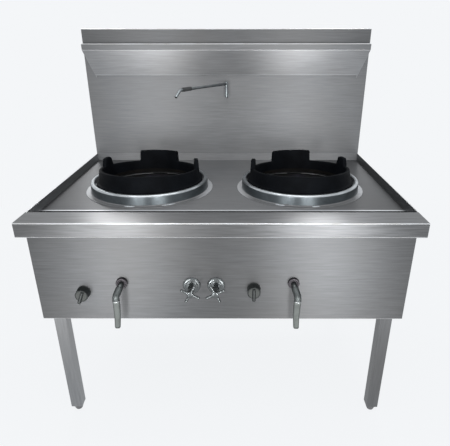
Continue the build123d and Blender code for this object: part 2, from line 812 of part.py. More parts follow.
def pilot_knob(side, pointer_angle):
    skirt_top = knob_gap + knob_skirt
    face_z = knob_gap + knob_depth
    front_z = face_z + pointer_rise
    knob = rod(knob_skirt_radius, knob_gap, skirt_top)
    knob += Pos(0, 0, (skirt_top + face_z) / 2) * Cone(
        knob_body_radius, knob_body_radius - knob_draft, face_z - skirt_top)
    pointer = slab(-pointer_width / 2, pointer_width / 2, -pointer_reach + pointer_width / 2,
                   knob_body_radius - knob_draft, skirt_top, front_z)
    tip = rod(pointer_width / 2, skirt_top, front_z)
    pointer += Pos(0, -pointer_reach + pointer_width / 2, 0) * tip
    knob = Rot(Z=pointer_angle) * (knob + pointer)
    bore_end = spindle_outside + push_travel + face_gap
    knob -= d_shaft(spindle_radius + running_gap, spindle_flat + running_gap,
                    knob_gap - cut_over, bore_end)
    return on_panel(knob, knob_xs[side], knob_drops[side])


def gas_manifold():
    start_x = knob_xs["left"] - manifold_overhang
    z = below(manifold_drop)
    end_y = rear_face + inlet_reach
    thread_y = end_y - gas_inlet_thread
    points = [(start_x, manifold_y, z), (manifold_return_x, manifold_y, z),
              (manifold_return_x, thread_y, z)]
    manifold = pipe(points, manifold_radius, manifold_bend)
    manifold += rod_y(gas_inlet_radius, manifold_return_x, thread_y, end_y, z)
    stubs = [(x, branch_radius) for x in lever_xs.values()]
    stubs += [(x, pilot_branch_radius) for x in knob_xs.values()]
    for x, radius in stubs:
        manifold += Pos(x, manifold_y, 0) * rod(radius, z - manifold_stub, z)
    return manifold - rod_y(gas_bore_radius, manifold_return_x, end_y - inlet_bore_depth,
                            end_y + cut_over, z)


# ---- water ----
def tap_body(side):
    body = rod(tap_body_radius, -sheet - tap_body_depth, -sheet)
    body += rod(bonnet_radius, -sheet, bonnet_reach)
    outlet = Cylinder(water_pipe_radius, tap_outlet_drop,
                      align=(Align.CENTER, Align.CENTER, Align.MIN))
    body += Pos(0, 0, -tap_outlet_inset) * Rot(X=90) * outlet
    body -= rod(tap_spindle_radius + running_gap, bonnet_reach - tap_spindle_depth - bore_relief,
                bonnet_reach + cut_over)
    return on_panel(body, tap_xs[side], tap_drop)


def tap_escutcheons():
    inner = bonnet_radius + wall_gap
    profile = [(inner, 0), (escutcheon_radius, 0), (escutcheon_radius, escutcheon_edge),
               (escutcheon_shoulder, escutcheon_depth - escutcheon_fall),
               (inner + escutcheon_lip, escutcheon_depth),
               (inner, escutcheon_depth)]
    return Compound([on_panel(lathe(profile), x, tap_drop) for x in tap_xs.values()])


def tap_handle(side, angle):
    hub_back = bonnet_reach + face_gap
    hub_front = tap_reach - tap_cap
    handle = rod(tap_hub_radius, hub_back, hub_front)
    handle += rod(tap_cap_radius, hub_front, tap_reach)
    handle += rod(tap_spindle_radius, bonnet_reach - tap_spindle_depth, hub_back)
    spoke_z = hub_front - spoke_setback
    for quarter in range(4):
        spoke = rod_x(spoke_radius, 0, spoke_length - spoke_tip_radius, 0, spoke_z)
        spoke += Pos(spoke_length - spoke_tip_radius, 0, spoke_z) * Sphere(spoke_tip_radius)
        handle += Rot(Z=angle + 90 * quarter) * spoke
    return on_panel(handle, tap_xs[side], tap_drop)


def water_manifold():
    z = below(tap_drop)
    body_end = panel_inner + tap_body_depth
    header_y = body_end + water_header_gap
    header = rod_x(water_pipe_radius, tap_xs["left"] - water_pipe_radius,
                   tap_xs["right"] + water_pipe_radius, header_y, z)
    for x in tap_xs.values():
        header += rod_y(water_neck_radius, x, body_end, header_y, z)
    end_y = rear_face + inlet_reach
    header += rod_y(water_pipe_radius, water_inlet_x, header_y, end_y, z)
    header += rod_y(water_inlet_radius, water_inlet_x, end_y - water_inlet_thread, end_y, z)
    return header - rod_y(water_bore_radius, water_inlet_x, end_y - inlet_bore_depth,
                          end_y + cut_over, z)


def supply_route(tap_x, run_drop, riser_x, outlet_z):
    """From a tap's outlet, back under the burners, up behind the cabinet to the wall."""
    y = panel_face + tap_outlet_inset
    low = below(run_drop)
    return [(tap_x, y, below(tap_drop + tap_outlet_drop)), (tap_x, y, low), (riser_x, y, low),
            (riser_x, riser_y, low), (riser_x, riser_y, outlet_z),
            (riser_x, wall_face + sheet + socket_depth, outlet_z)]


def spout_supply():
    points = supply_route(tap_xs["left"], spout_riser_drop, spout_x, rim_height + spout_low_rise)
    return pipe(points, supply_radius, supply_bend)


def spray_supply():
    points = supply_route(tap_xs["right"], spray_riser_drop, spray_riser_x, spray_z)
    return pipe(points, supply_radius, supply_bend)


def spout_elbow():
    low = rim_height + spout_low_rise
    swivel = rim_height + spout_swivel_rise
    elbow = rod(post_radius, low - post_radius, swivel)
    elbow -= rod(swivel_pin_radius + running_gap, swivel - swivel_pin_length - bore_relief,
                 swivel + cut_over)
    elbow = Pos(spout_x, post_y, 0) * elbow
    elbow += rod_y(post_radius, spout_x, post_y, wall_face + sheet + socket_depth, low)
    elbow += rod_y(wall_flange_radius, spout_x, wall_face - wall_flange, wall_face, low)
    return elbow


def spout_swing(shape):
    """Places a spout piece drawn on the swivel axis and pointing to -Y."""
    return Pos(spout_x, post_y, 0) * Rot(Z=spout_rest_angle) * shape


def spout_arm():
    swivel = rim_height + spout_swivel_rise
    arm_z = rim_height + spout_arm_rise
    top = rim_height + spout_top_rise
    arm = rod(post_radius, swivel + face_gap, top)
    arm += rod(swivel_pin_radius, swivel - swivel_pin_length, swivel + face_gap)
    points = [(0, 0, arm_z), (0, -arm_reach, arm_z), (0, -arm_reach - tip_reach, arm_z - tip_drop)]
    arm += pipe(points, arm_radius, tip_bend)
    tip = Vector(*points[2])
    along = (tip - Vector(*points[1])).normalized()
    bore = Plane(origin=tip, z_dir=along * -1) * rod(tip_bore_radius, -cut_over, tip_bore_depth)
    return spout_swing(arm - bore)


def spout_grip():
    z = rim_height + spout_arm_rise
    sleeve = rod_y(grip_radius, 0, -grip_start - grip_length, -grip_start, z)
    sleeve -= rod_y(arm_radius + running_gap, 0, -grip_start - grip_length - cut_over,
                    cut_over - grip_start, z)
    return spout_swing(sleeve)


# ---- drain ----
def drain_outlet():
    top = gutter_floor + drain_flange
    cup_low = gutter_floor - drain_cup_depth
    tail_low = cup_low - drain_tail_length
    outlet = lathe([(drain_flange_radius, top), (drain_flange_radius, gutter_floor),
                    (drain_cup_radius, gutter_floor), (drain_cup_radius, cup_low),
                    (drain_tail_radius, cup_low), (drain_tail_radius, tail_low),
                    (drain_tail_radius - drain_wall, tail_low),
                    (drain_tail_radius - drain_wall, cup_low + drain_wall),
                    (drain_cup_radius - drain_wall, cup_low + drain_wall),
                    (drain_cup_radius - drain_wall, top)])
    return Pos(drain_x, gutter_middle, 0) * outlet


def gutter_strainer():
    seat = gutter_floor + drain_flange
    rim_top = seat + strainer_wall
    low = rim_top - strainer_depth
    inner = strainer_radius - strainer_wall
    basket = lathe([(strainer_rim_radius, rim_top), (strainer_rim_radius, seat),
                    (strainer_radius, seat), (strainer_radius, low - strainer_wall),
                    (0, low - strainer_wall), (0, low), (inner, low), (inner, rim_top)])
    for index in range(strainer_hole_count):
        turn = Rot(Z=360 * index / strainer_hole_count)
        hole = rod(strainer_hole_radius, low - strainer_wall - cut_over, low + cut_over)
        basket -= turn * Pos(strainer_hole_circle, 0, 0) * hole
    post_top = low + strainer_post_height
    basket += rod(strainer_post_radius, low, post_top)
    basket += Pos(0, 0, post_top) * Sphere(strainer_ball_radius)
    return Pos(drain_x, gutter_middle, 0) * basket


# ---- write every sub-part ----
pieces = {
    "front_ledge": front_ledge(),
    "deck_plate": deck_plate(),
    "rear_upstand": rear_upstand(),
    "gutter_channel": gutter_channel(),
    "front_panel": front_panel(),
    "rear_panel": rear_panel(),
    "panel_screws": panel_screws(),
    "frame_rails": frame_rails(),
    "splashback_face": splashback_face(),
    "splashback_rear_skin": splashback_rear_skin(),
    "shelf_cover": shelf_cover(),
    "spray_bar": spray_bar(),
    "pilot_burners": pilot_burners(),
    "gas_manifold": gas_manifold(),
    "tap_escutcheons": tap_escutcheons(),
    "water_manifold": water_manifold(),
    "spout_supply": spout_supply(),
    "spray_supply": spray_supply(),
    "spout_elbow": spout_elbow(),
    "spout_arm": spout_arm(),
    "spout_grip": spout_grip(),
    "drain_outlet": drain_outlet(),
    "gutter_strainer": gutter_strainer(),
    "left_pilot_knob": pilot_knob("left", left_pointer_angle),
    "right_pilot_knob": pilot_knob("right", right_pointer_angle),
    "left_tap_handle": tap_handle("left", left_tap_angle),
    "right_tap_handle": tap_handle("right", right_tap_angle),
}
for side in ("left", "right"):
    pieces[side + "_side_rim"] = side_rim(side)
    pieces[side + "_side_panel"] = side_panel(side)
    pieces[side + "_trim_ring"] = trim_ring(side)
    pieces[side + "_wok_ring"] = wok_ring(side)
    pieces[side + "_burner_chamber"] = burner_chamber(side)
    pieces[side + "_burner"] = burner(side)
    pieces[side + "_gas_valve"] = gas_valve(side)
    pieces[side + "_lever_hub"] = lever_hub(side)
    pieces[side + "_lever_handle"] = lever_handle(side)
    pieces[side + "_pilot_valve"] = pilot_valve(side)
    pieces[side + "_pilot_spindle"] = pilot_spindle(side)
    pieces[side + "_tap_body"] = tap_body(side)
    for row in ("front", "rear"):
        pieces[f"{row}_{side}_leg"] = leg_post(side, row)
        pieces[f"{row}_{side}_foot"] = levelling_foot(side, row)

for name, piece in pieces.items():
    export_step(piece, f"parts/{name}.step")
print(len(pieces), "sub-parts written")
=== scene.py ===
# %% [markdown]
# # A two-burner wok range, dressed for its picture
#
# The range is a folded stainless bench with a splashback, two burner wells with black iron
# wok rings, a row of gas and water controls, and four legs. Its pieces arrive from the
# workshop model at their real size, in metres. This lesson gives every one of them its
# finish, and rebuilds as finer meshes the pieces whose shape the eye comes close to:
# castings, spun rings, taps, levers, knobs and feet.
#
# The workshop model is a fixed frame. Nothing in it is moved or resized. A finer piece takes
# its place from the node that it stands for, and rides on the same body.

# %% Load the fixed frame
import json
from math import cos, degrees, pi, radians, sin, sqrt, tan

import bmesh
import bpy
from mathutils import Matrix, Quaternion, Vector


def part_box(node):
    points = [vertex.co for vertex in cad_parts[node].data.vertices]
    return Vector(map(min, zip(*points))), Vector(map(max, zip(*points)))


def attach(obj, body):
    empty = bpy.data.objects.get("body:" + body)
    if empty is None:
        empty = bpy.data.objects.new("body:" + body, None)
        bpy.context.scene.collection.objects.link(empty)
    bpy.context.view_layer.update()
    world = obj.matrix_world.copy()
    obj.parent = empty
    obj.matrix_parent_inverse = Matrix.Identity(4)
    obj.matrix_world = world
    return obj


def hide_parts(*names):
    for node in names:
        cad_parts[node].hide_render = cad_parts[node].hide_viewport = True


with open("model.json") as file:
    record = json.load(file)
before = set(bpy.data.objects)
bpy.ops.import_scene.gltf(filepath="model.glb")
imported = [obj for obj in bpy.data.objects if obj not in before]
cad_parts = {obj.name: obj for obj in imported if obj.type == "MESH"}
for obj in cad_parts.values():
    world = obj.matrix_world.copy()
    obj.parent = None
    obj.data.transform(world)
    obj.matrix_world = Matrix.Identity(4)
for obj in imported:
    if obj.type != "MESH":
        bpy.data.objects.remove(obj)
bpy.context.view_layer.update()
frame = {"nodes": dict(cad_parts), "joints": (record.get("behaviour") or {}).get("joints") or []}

nodes = frame["nodes"]
sides = ("left", "right")

# %% [markdown]
# ## The camera
#
# The picture was taken from about eye height, a little right of the middle, looking down at
# the deck. The place and tilt were found by matching the corners of the ledge, splashback,
# cabinet and legs to their places in the picture. The lens is a little wide, which is why
# the legs lean inwards. The picture was cropped, so the lens axis isn't in its centre, and a
# small shift puts it back.

# %% Camera
eye = Vector((0.0496, -1.6109, 1.2482))
look_down = 24.317
turn_left = 0.199
roll_left = 0.047
focal_pixels = 444.87
picture_width = 450
picture_height = 446
axis_pixel = Vector((236.39, 239.39))

camera_data = bpy.data.cameras.new("camera")
camera_data.sensor_width = 36.0
camera_data.lens = focal_pixels * camera_data.sensor_width / picture_width
camera_data.shift_x = (picture_width / 2 - axis_pixel.x) / picture_width
camera_data.shift_y = (axis_pixel.y - picture_height / 2) / picture_width
camera = bpy.data.objects.new("camera", camera_data)
bpy.context.scene.collection.objects.link(camera)
camera.location = eye
camera.rotation_euler = (radians(90 - look_down), radians(roll_left), radians(turn_left))
bpy.context.scene.camera = camera
print("lens", round(camera_data.lens, 1), "mm, shift", round(camera_data.shift_x, 4),
      round(camera_data.shift_y, 4))

# %% [markdown]
# ## The studio
#
# Brushed steel shows its surroundings more than its own colour, so the room is designed
# first. A nearly white room, seen by the camera and by reflections, gives the even middle
# grey of the sheets. The light it sheds on rough things is dimmer, so black iron stays black.
#
# The floor catches a soft shadow near the legs and fades into the colour of the room further
# out, so no horizon shows. A backdrop sheet would also do, but then it would stand in the
# way of views from behind. The floor is clear from underneath, so the range can be looked at
# from below.

# %% Colour of the room
scene = bpy.context.scene
scene.view_settings.view_transform = 'Standard'
room_colour = (0.905, 0.921, 0.939, 1.0)
ambient_strength = 0.42


def add(tree, kind, **settings):
    """One shader node, with its settings."""
    node = tree.nodes.new(kind)
    for name, value in settings.items():
        setattr(node, name, value)
    return node


def wire(tree, source, target):
    tree.links.new(source, target)


def sum_of(tree, *sources):
    """Adds values together and keeps the result between 0 and 1."""
    total = sources[0]
    for source in sources[1:]:
        node = add(tree, 'ShaderNodeMath', operation='ADD', use_clamp=True)
        wire(tree, total, node.inputs[0])
        wire(tree, source, node.inputs[1])
        total = node.outputs[0]
    return total


def seen_rays(tree):
    """1 for what the camera, a reflection or a clear body sees, and 0 for soft light."""
    path = add(tree, 'ShaderNodeLightPath')
    return sum_of(tree, path.outputs['Is Camera Ray'], path.outputs['Is Glossy Ray'],
                  path.outputs['Is Transmission Ray'])


def remap(tree, value, low, high, new_low=0.0, new_high=1.0, kind='LINEAR'):
    """Maps the range low to high onto the range new_low to new_high."""
    node = add(tree, 'ShaderNodeMapRange', interpolation_type=kind)
    wire(tree, value, node.inputs['Value'])
    ends = {'From Min': low, 'From Max': high, 'To Min': new_low, 'To Max': new_high}
    for label, number in ends.items():
        node.inputs[label].default_value = number
    return node.outputs['Result']


def mix_values(tree, share, low, high):
    """A value between low and high, by a share from another node."""
    return remap(tree, share, 0.0, 1.0, low, high)


def object_place(tree):
    """Where a point lies on its own object."""
    return add(tree, 'ShaderNodeTexCoord').outputs['Object']


def coordinate(tree, axis):
    """How far along one axis of its object a point lies."""
    parts = add(tree, 'ShaderNodeSeparateXYZ')
    wire(tree, object_place(tree), parts.inputs[0])
    return parts.outputs[axis]


world = bpy.data.worlds.new("pale_room")
scene.world = world
world.use_nodes = True
background = world.node_tree.nodes["Background"]
background.inputs['Color'].default_value = room_colour
room_strength = mix_values(world.node_tree, seen_rays(world.node_tree), ambient_strength, 1.0)
wire(world.node_tree, room_strength, background.inputs['Strength'])
print("room colour", room_colour[:3])

# %% Floor that keeps the shadow and has no horizon
floor_radius = 14.0
shadow_reach = 1.1
plain_from = 2.6
shadow_share = 0.05
floor_sides = 96

shape = bmesh.new()
bmesh.ops.create_circle(shape, cap_ends=True, radius=floor_radius, segments=floor_sides)
floor_mesh = bpy.data.meshes.new("floor")
shape.to_mesh(floor_mesh)
shape.free()
floor = bpy.data.objects.new("floor", floor_mesh)
scene.collection.objects.link(floor)

floor_paint = bpy.data.materials.new("pale_floor")
floor_paint.use_nodes = True
tree = floor_paint.node_tree
tree.nodes.remove(tree.nodes["Principled BSDF"])
matt = add(tree, 'ShaderNodeBsdfDiffuse')
matt.inputs['Color'].default_value = room_colour
glow = add(tree, 'ShaderNodeEmission')
glow.inputs['Color'].default_value = room_colour
wire(tree, mix_values(tree, seen_rays(tree), ambient_strength, 1.0), glow.inputs['Strength'])
distance = add(tree, 'ShaderNodeVectorMath', operation='LENGTH')
wire(tree, object_place(tree), distance.inputs[0])
fade = remap(tree, distance.outputs['Value'], shadow_reach, plain_from, 1 - shadow_share, 1.0,
             'SMOOTHSTEP')
blend = add(tree, 'ShaderNodeMixShader')
wire(tree, fade, blend.inputs['Fac'])
wire(tree, matt.outputs[0], blend.inputs[1])
wire(tree, glow.outputs[0], blend.inputs[2])
underneath = add(tree, 'ShaderNodeMixShader')
wire(tree, add(tree, 'ShaderNodeNewGeometry').outputs['Backfacing'], underneath.inputs['Fac'])
wire(tree, blend.outputs[0], underneath.inputs[1])
wire(tree, add(tree, 'ShaderNodeBsdfTransparent').outputs[0], underneath.inputs[2])
wire(tree, underneath.outputs[0], tree.nodes["Material Output"].inputs['Surface'])
floor_mesh.materials.append(floor_paint)
print("floor radius", floor_radius)

# %% [markdown]
# ## The lamps
#
# Brushed steel smears each lamp across the grain. In the picture every flat sheet has two
# upright bright bands, left and right of the middle. So four soft boxes stand behind the
# camera, two of them lower than the deck, and two more hang high behind the range, where the
# ledge sees them over the splashback and the deck doesn't. A wide one overhead fills in. A band
# falls between the camera and the lamp, in the ratio of their distances, which gives the
# lamps' places. The two low boxes cast no shadow, or each lever would draw a dark bar beside
# it. They then reach the splashback through the bench, which the sheets' tones allow for.

# %% Soft boxes
def soft_box(name, place, target, width, height, power, shadows=True):
    """An area lamp turned towards a point. The camera doesn't see it."""
    data = bpy.data.lights.new(name, 'AREA')
    data.shape = 'RECTANGLE'
    data.size = width
    data.size_y = height
    data.energy = power
    data.use_shadow = shadows
    lamp = bpy.data.objects.new(name, data)
    scene.collection.objects.link(lamp)
    lamp.location = place
    lamp.rotation_euler = (Vector(target) - Vector(place)).to_track_quat('-Z', 'Y').to_euler()
    lamp.visible_camera = False
    return lamp


soft_box("left_low_box", (-0.73, -1.9, 0.12), (-0.3, 0.0, 0.8), 0.45, 0.5, 11.5,
         shadows=False)
soft_box("right_low_box", (0.61, -1.9, 0.12), (0.3, 0.0, 0.8), 0.45, 0.5, 13.0,
         shadows=False)
soft_box("left_back_box", (-0.80, -2.6, 0.75), (-0.3, 0.0, 0.9), 0.34, 0.7, 16.0)
soft_box("right_back_box", (0.68, -2.6, 0.75), (0.3, 0.0, 0.9), 0.34, 0.7, 16.0)
soft_box("left_high_box", (-1.17, 2.3, 2.54), (-0.3, -0.4, 0.75), 0.45, 0.28, 22.0)
soft_box("right_high_box", (0.87, 2.3, 2.54), (0.3, -0.4, 0.75), 0.45, 0.28, 22.0)
soft_box("overhead_box", (0.0, -0.6, 3.0), (0.0, 0.0, 0.6), 2.6, 1.6, 30.0)
print(len(bpy.data.lights), "lamps")

# %% [markdown]
# ## Effects that several finishes share
#
# Each effect is a shader node group: a small machine with named inputs and outputs that is
# built once and placed in every finish with its own settings. The groups put out values
# only. The shader itself stays in the material.
#
# - `brushed_grain` makes the fine parallel scratches of brushed or linished steel.
# - An edge group finds folded and rounded edges and lightens them: partly rubbed wear, and
#   partly a painted highlight.
# - `kitchen_haze` makes the faint cloudy film of grease and wiping that a used bench has.
# - `cast_skin` makes the pitted, slightly wavy skin of a sand casting.

# %% Make a group with named sockets
def new_group(name, inputs, outputs):
    """An empty node group. Inputs are (name, socket kind, value), outputs (name, kind)."""
    group = bpy.data.node_groups.new(name, 'ShaderNodeTree')
    for label, kind, value in inputs:
        socket = group.interface.new_socket(name=label, in_out='INPUT', socket_type=kind)
        socket.default_value = value
    for label, kind in outputs:
        group.interface.new_socket(name=label, in_out='OUTPUT', socket_type=kind)
    return group, add(group, 'NodeGroupInput'), add(group, 'NodeGroupOutput')


def noise(tree, vector, scale=1.0, detail=2.0, roughness=0.5):
    node = add(tree, 'ShaderNodeTexNoise')
    node.inputs['Scale'].default_value = scale
    node.inputs['Detail'].default_value = detail
    node.inputs['Roughness'].default_value = roughness
    wire(tree, vector, node.inputs['Vector'])
    return node.outputs['Fac']


def stretched(tree, vector, factor):
    """Multiplies a vector by another, or by a plain number on each axis."""
    node = add(tree, 'ShaderNodeVectorMath', operation='MULTIPLY')
    wire(tree, vector, node.inputs[0])
    if isinstance(factor, tuple):
        node.inputs[1].default_value = factor
    else:
        wire(tree, factor, node.inputs[1])
    return node.outputs[0]


def calculate(tree, operation, first, second):
    """One sum of two values, each a socket or a plain number."""
    node = add(tree, 'ShaderNodeMath', operation=operation)
    for value, socket in ((first, node.inputs[0]), (second, node.inputs[1])):
        if isinstance(value, (int, float)):
            socket.default_value = value
        else:
            wire(tree, value, socket)
    return node.outputs[0]


def times(tree, first, second):
    return calculate(tree, 'MULTIPLY', first, second)


# %% brushed_grain
fine_multiple = (4.0, 6.0, 6.0)
brushed_grain, source, result = new_group(
    "brushed_grain",
    [("Stretch", 'NodeSocketVector', (12.0, 260.0, 260.0))],
    [("Streaks", 'NodeSocketFloat'), ("Scratches", 'NodeSocketFloat')])
along = stretched(brushed_grain, object_place(brushed_grain), source.outputs['Stretch'])
coarse = noise(brushed_grain, along, detail=4.0, roughness=0.6)
wire(brushed_grain, remap(brushed_grain, coarse, 0.25, 0.75), result.inputs['Streaks'])
fine = stretched(brushed_grain, along, fine_multiple)
wire(brushed_grain, noise(brushed_grain, fine, detail=3.0, roughness=0.7),
     result.inputs['Scratches'])
print("group", brushed_grain.name)

# %% Edges lightened by wear and a painted highlight
full_wear_likeness = 0.82     # cosine between the rounded and the flat normal
worn_and_highlit_edges, source, result = new_group(
    "worn_and_highlit_edges",
    [("Width", 'NodeSocketFloat', 0.002), ("Patchiness", 'NodeSocketFloat', 40.0)],
    [("Edge", 'NodeSocketFloat')])
rounded_normal = add(worn_and_highlit_edges, 'ShaderNodeBevel', samples=4)
wire(worn_and_highlit_edges, source.outputs['Width'], rounded_normal.inputs['Radius'])
flat_normal = add(worn_and_highlit_edges, 'ShaderNodeNewGeometry')
likeness = add(worn_and_highlit_edges, 'ShaderNodeVectorMath', operation='DOT_PRODUCT')
wire(worn_and_highlit_edges, rounded_normal.outputs['Normal'], likeness.inputs[0])
wire(worn_and_highlit_edges, flat_normal.outputs['Normal'], likeness.inputs[1])
edge = remap(worn_and_highlit_edges, likeness.outputs['Value'], 1.0, full_wear_likeness)
patches = add(worn_and_highlit_edges, 'ShaderNodeTexNoise')
wire(worn_and_highlit_edges, object_place(worn_and_highlit_edges), patches.inputs['Vector'])
wire(worn_and_highlit_edges, source.outputs['Patchiness'], patches.inputs['Scale'])
patched = times(worn_and_highlit_edges, edge, mix_values(worn_and_highlit_edges, patches.outputs['Fac'], 0.55, 1.25))
wire(worn_and_highlit_edges, patched, result.inputs['Edge'])
print("group", worn_and_highlit_edges.name)

# %% kitchen_haze
kitchen_haze, source, result = new_group(
    "kitchen_haze",
    [("Size", 'NodeSocketFloat', 3.0)],
    [("Haze", 'NodeSocketFloat'), ("Specks", 'NodeSocketFloat')])
place = object_place(kitchen_haze)
cloud = add(kitchen_haze, 'ShaderNodeTexNoise')
cloud.inputs['Detail'].default_value = 5.0
cloud.inputs['Distortion'].default_value = 0.6
wire(kitchen_haze, place, cloud.inputs['Vector'])
wire(kitchen_haze, source.outputs['Size'], cloud.inputs['Scale'])
wire(kitchen_haze, remap(kitchen_haze, cloud.outputs['Fac'], 0.35, 0.7),
     result.inputs['Haze'])
grit = noise(kitchen_haze, place, scale=420.0, detail=1.0)
wire(kitchen_haze, remap(kitchen_haze, grit, 0.66, 0.78), result.inputs['Specks'])
print("group", kitchen_haze.name)

# %% cast_skin
cast_skin, source, result = new_group(
    "cast_skin",
    [("Grain", 'NodeSocketFloat', 420.0)],
    [("Height", 'NodeSocketFloat'), ("Pits", 'NodeSocketFloat'), ("Tone", 'NodeSocketFloat')])
place = object_place(cast_skin)
sand = add(cast_skin, 'ShaderNodeTexNoise')
sand.inputs['Detail'].default_value = 4.0
wire(cast_skin, place, sand.inputs['Vector'])
wire(cast_skin, source.outputs['Grain'], sand.inputs['Scale'])
hollows = add(cast_skin, 'ShaderNodeTexVoronoi', feature='SMOOTH_F1')
wire(cast_skin, place, hollows.inputs['Vector'])
wire(cast_skin, times(cast_skin, source.outputs['Grain'], 0.5), hollows.inputs['Scale'])
pits = remap(cast_skin, hollows.outputs['Distance'], 0.05, 0.4)
wire(cast_skin, times(cast_skin, sand.outputs['Fac'], pits), result.inputs['Height'])
wire(cast_skin, pits, result.inputs['Pits'])
wire(cast_skin, noise(cast_skin, place, scale=18.0, detail=4.0), result.inputs['Tone'])
print("group", cast_skin.name)

# %% [markdown]
# ## Finishes
#
# A finish is a material. Each starts from the Principled shader and adds the groups that it
# needs. The helpers below place a group, mix two colours by a mask, and add a bump, so that
# each finish reads as a short recipe.

# %% Helpers for finishes
def new_finish(name, metallic, roughness):
    """A material with a plain Principled shader to build on."""
    material = bpy.data.materials.new(name)
    material.use_nodes = True
    shader = material.node_tree.nodes["Principled BSDF"]
    shader.inputs['Metallic'].default_value = metallic
    shader.inputs['Roughness'].default_value = roughness
    return material, material.node_tree, shader


def use_group(tree, group, **values):
    """Places a group, with its own values on its inputs."""
    node = add(tree, 'ShaderNodeGroup', node_tree=group)
    for name, value in values.items():
        node.inputs[name].default_value = value
    return node.outputs


def mix_colours(tree, mask, first, second):
    """The first colour where the mask is 0, and the second where it is 1."""
    node = add(tree, 'ShaderNodeMix', data_type='RGBA')
    wire(tree, mask, node.inputs[0])
    for colour, socket in ((first, node.inputs[6]), (second, node.inputs[7])):
        if isinstance(colour, tuple):
            socket.default_value = colour + (1.0,)
        else:
            wire(tree, colour, socket)
    return node.outputs[2]


def bump(tree, shader, height, strength, distance):
    node = add(tree, 'ShaderNodeBump')
    node.inputs['Strength'].default_value = strength
    node.inputs['Distance'].default_value = distance
    wire(tree, height, node.inputs['Height'])
    wire(tree, node.outputs['Normal'], shader.inputs['Normal'])


def paint(tree, shader, colour, mask, low, high):
    """Sets the base colour, and a roughness that a mask moves between two values."""
    wire(tree, colour, shader.inputs['Base Color'])
    wire(tree, mix_values(tree, mask, low, high), shader.inputs['Roughness'])


def rub_and_highlight_edges(tree, colour, rubbed, share, **settings):
    """Lightens folded and rounded edges: partly rubbed wear, partly a painted highlight."""
    edges = use_group(tree, worn_and_highlit_edges, **settings)
    return mix_colours(tree, times(tree, edges['Edge'], share), colour, rubbed)


def scaled(colour, factor, offset=0.0):
    return tuple(part * factor + offset for part in colour)


def smear(tree, shader, axis, amount, across=0.0):
    """Stretches reflections across the grain. The axis is the one that the grain follows."""
    tangent = add(tree, 'ShaderNodeTangent', direction_type='RADIAL', axis=axis)
    wire(tree, tangent.outputs['Tangent'], shader.inputs['Tangent'])
    shader.inputs['Anisotropic'].default_value = amount
    shader.inputs['Anisotropic Rotation'].default_value = across


# %% [markdown]
# ### Brushed sheet
#
# The bench is folded from sheet that came from the mill with a brushed face, and its grain
# follows the long side of each piece. Long thin noise makes the streaks. They change the
# colour a little and the roughness too, as real scratches do. The film of use makes soft
# clouds. Each sheet has its own tone, which is partly painted shade: the tones are lowered
# where the low lamps light the sheets through the bench, and the same steel is lighter on the
# left rim and legs than on the right. The ledge and the shelf, which hands and cloths polish
# all day, are the smoothest.

# %% Brushed sheet finishes
grain_stretch = {'X': (10.0, 220.0, 220.0), 'Y': (220.0, 10.0, 220.0),
                 'Z': (220.0, 220.0, 10.0)}
usual_roughness = 0.46
usual_spread = 0.17
film_share = 0.4
edge_highlight_gain = 2.0
grain_smear = 0.75
cool = (0.975, 1.0, 1.035)
warm = (1.02, 1.0, 0.975)


def shade(tone, scale, tint):
    return tuple(tone * scale * part for part in tint)


def paint_light_by_place(tree, colour, axis, start, end, first, last):
    """Painted light: multiplies a colour by a factor from first to last between two places."""
    distance = add(tree, 'ShaderNodeMath', operation='ABSOLUTE')
    wire(tree, coordinate(tree, axis), distance.inputs[0])
    factor = remap(tree, distance.outputs[0], start, end, first, last, 'SMOOTHSTEP')
    product = add(tree, 'ShaderNodeVectorMath', operation='SCALE')
    wire(tree, colour, product.inputs[0])
    wire(tree, factor, product.inputs['Scale'])
    return product.outputs[0]


def brushed_sheet(name, axis, tone, roughness=usual_roughness, spread=usual_spread, fade=None):
    """Brushed steel. The tone is its middle grey, and the spread how far its streaks differ."""
    material, tree, shader = new_finish(name, 1.0, roughness)
    grain = use_group(tree, brushed_grain, Stretch=grain_stretch[axis])
    haze = use_group(tree, kitchen_haze, Size=2.6)
    steel = mix_colours(tree, grain['Streaks'], shade(tone, 1 - spread, cool),
                        shade(tone, 1 + spread, cool))
    filmed = times(tree, haze['Haze'], film_share)
    steel = mix_colours(tree, filmed, steel, shade(tone, 1.02, warm))
    # Painted highlight, with wear: folds and edges are lightened to twice the sheet's tone.
    steel = rub_and_highlight_edges(tree, steel, shade(tone, edge_highlight_gain, cool), 0.5, Width=0.0025)
    # Painted light: a fade darkens or lightens the sheet by where it lies.
    if fade:
        steel = paint_light_by_place(tree, steel, *fade)
    wire(tree, steel, shader.inputs['Base Color'])
    film = mix_values(tree, grain['Streaks'], roughness - 0.02, roughness + 0.02)
    dulled = calculate(tree, 'ADD', film, times(tree, haze['Haze'], 0.03))
    wire(tree, dulled, shader.inputs['Roughness'])
    bump(tree, shader, grain['Scratches'], 0.1, 0.0002)
    smear(tree, shader, axis, grain_smear)
    return material


# Each sheet's middle grey, partly painted shade, and the roughness of the two smoothest.
sheets = {"front_ledge": 0.17, "deck_plate": 0.172, "rear_upstand": 0.165,
          "gutter_channel": 0.18, "front_panel": 0.107, "rear_panel": 0.16,
          "splashback_face": 0.138, "splashback_rear_skin": 0.16, "shelf_cover": 0.20}
smooth_sheets = {"front_ledge": 0.35, "shelf_cover": 0.32}
# Painted light: the splashback darkens above the shelf, and the deck darkens towards both
# ends from a slightly lighter middle.
painted_shade_fades = {"splashback_face": ('Z', 1.20, 1.23, 1.0, 0.74),
         "deck_plate": ('X', 0.2, 0.52, 1.05, 0.6)}
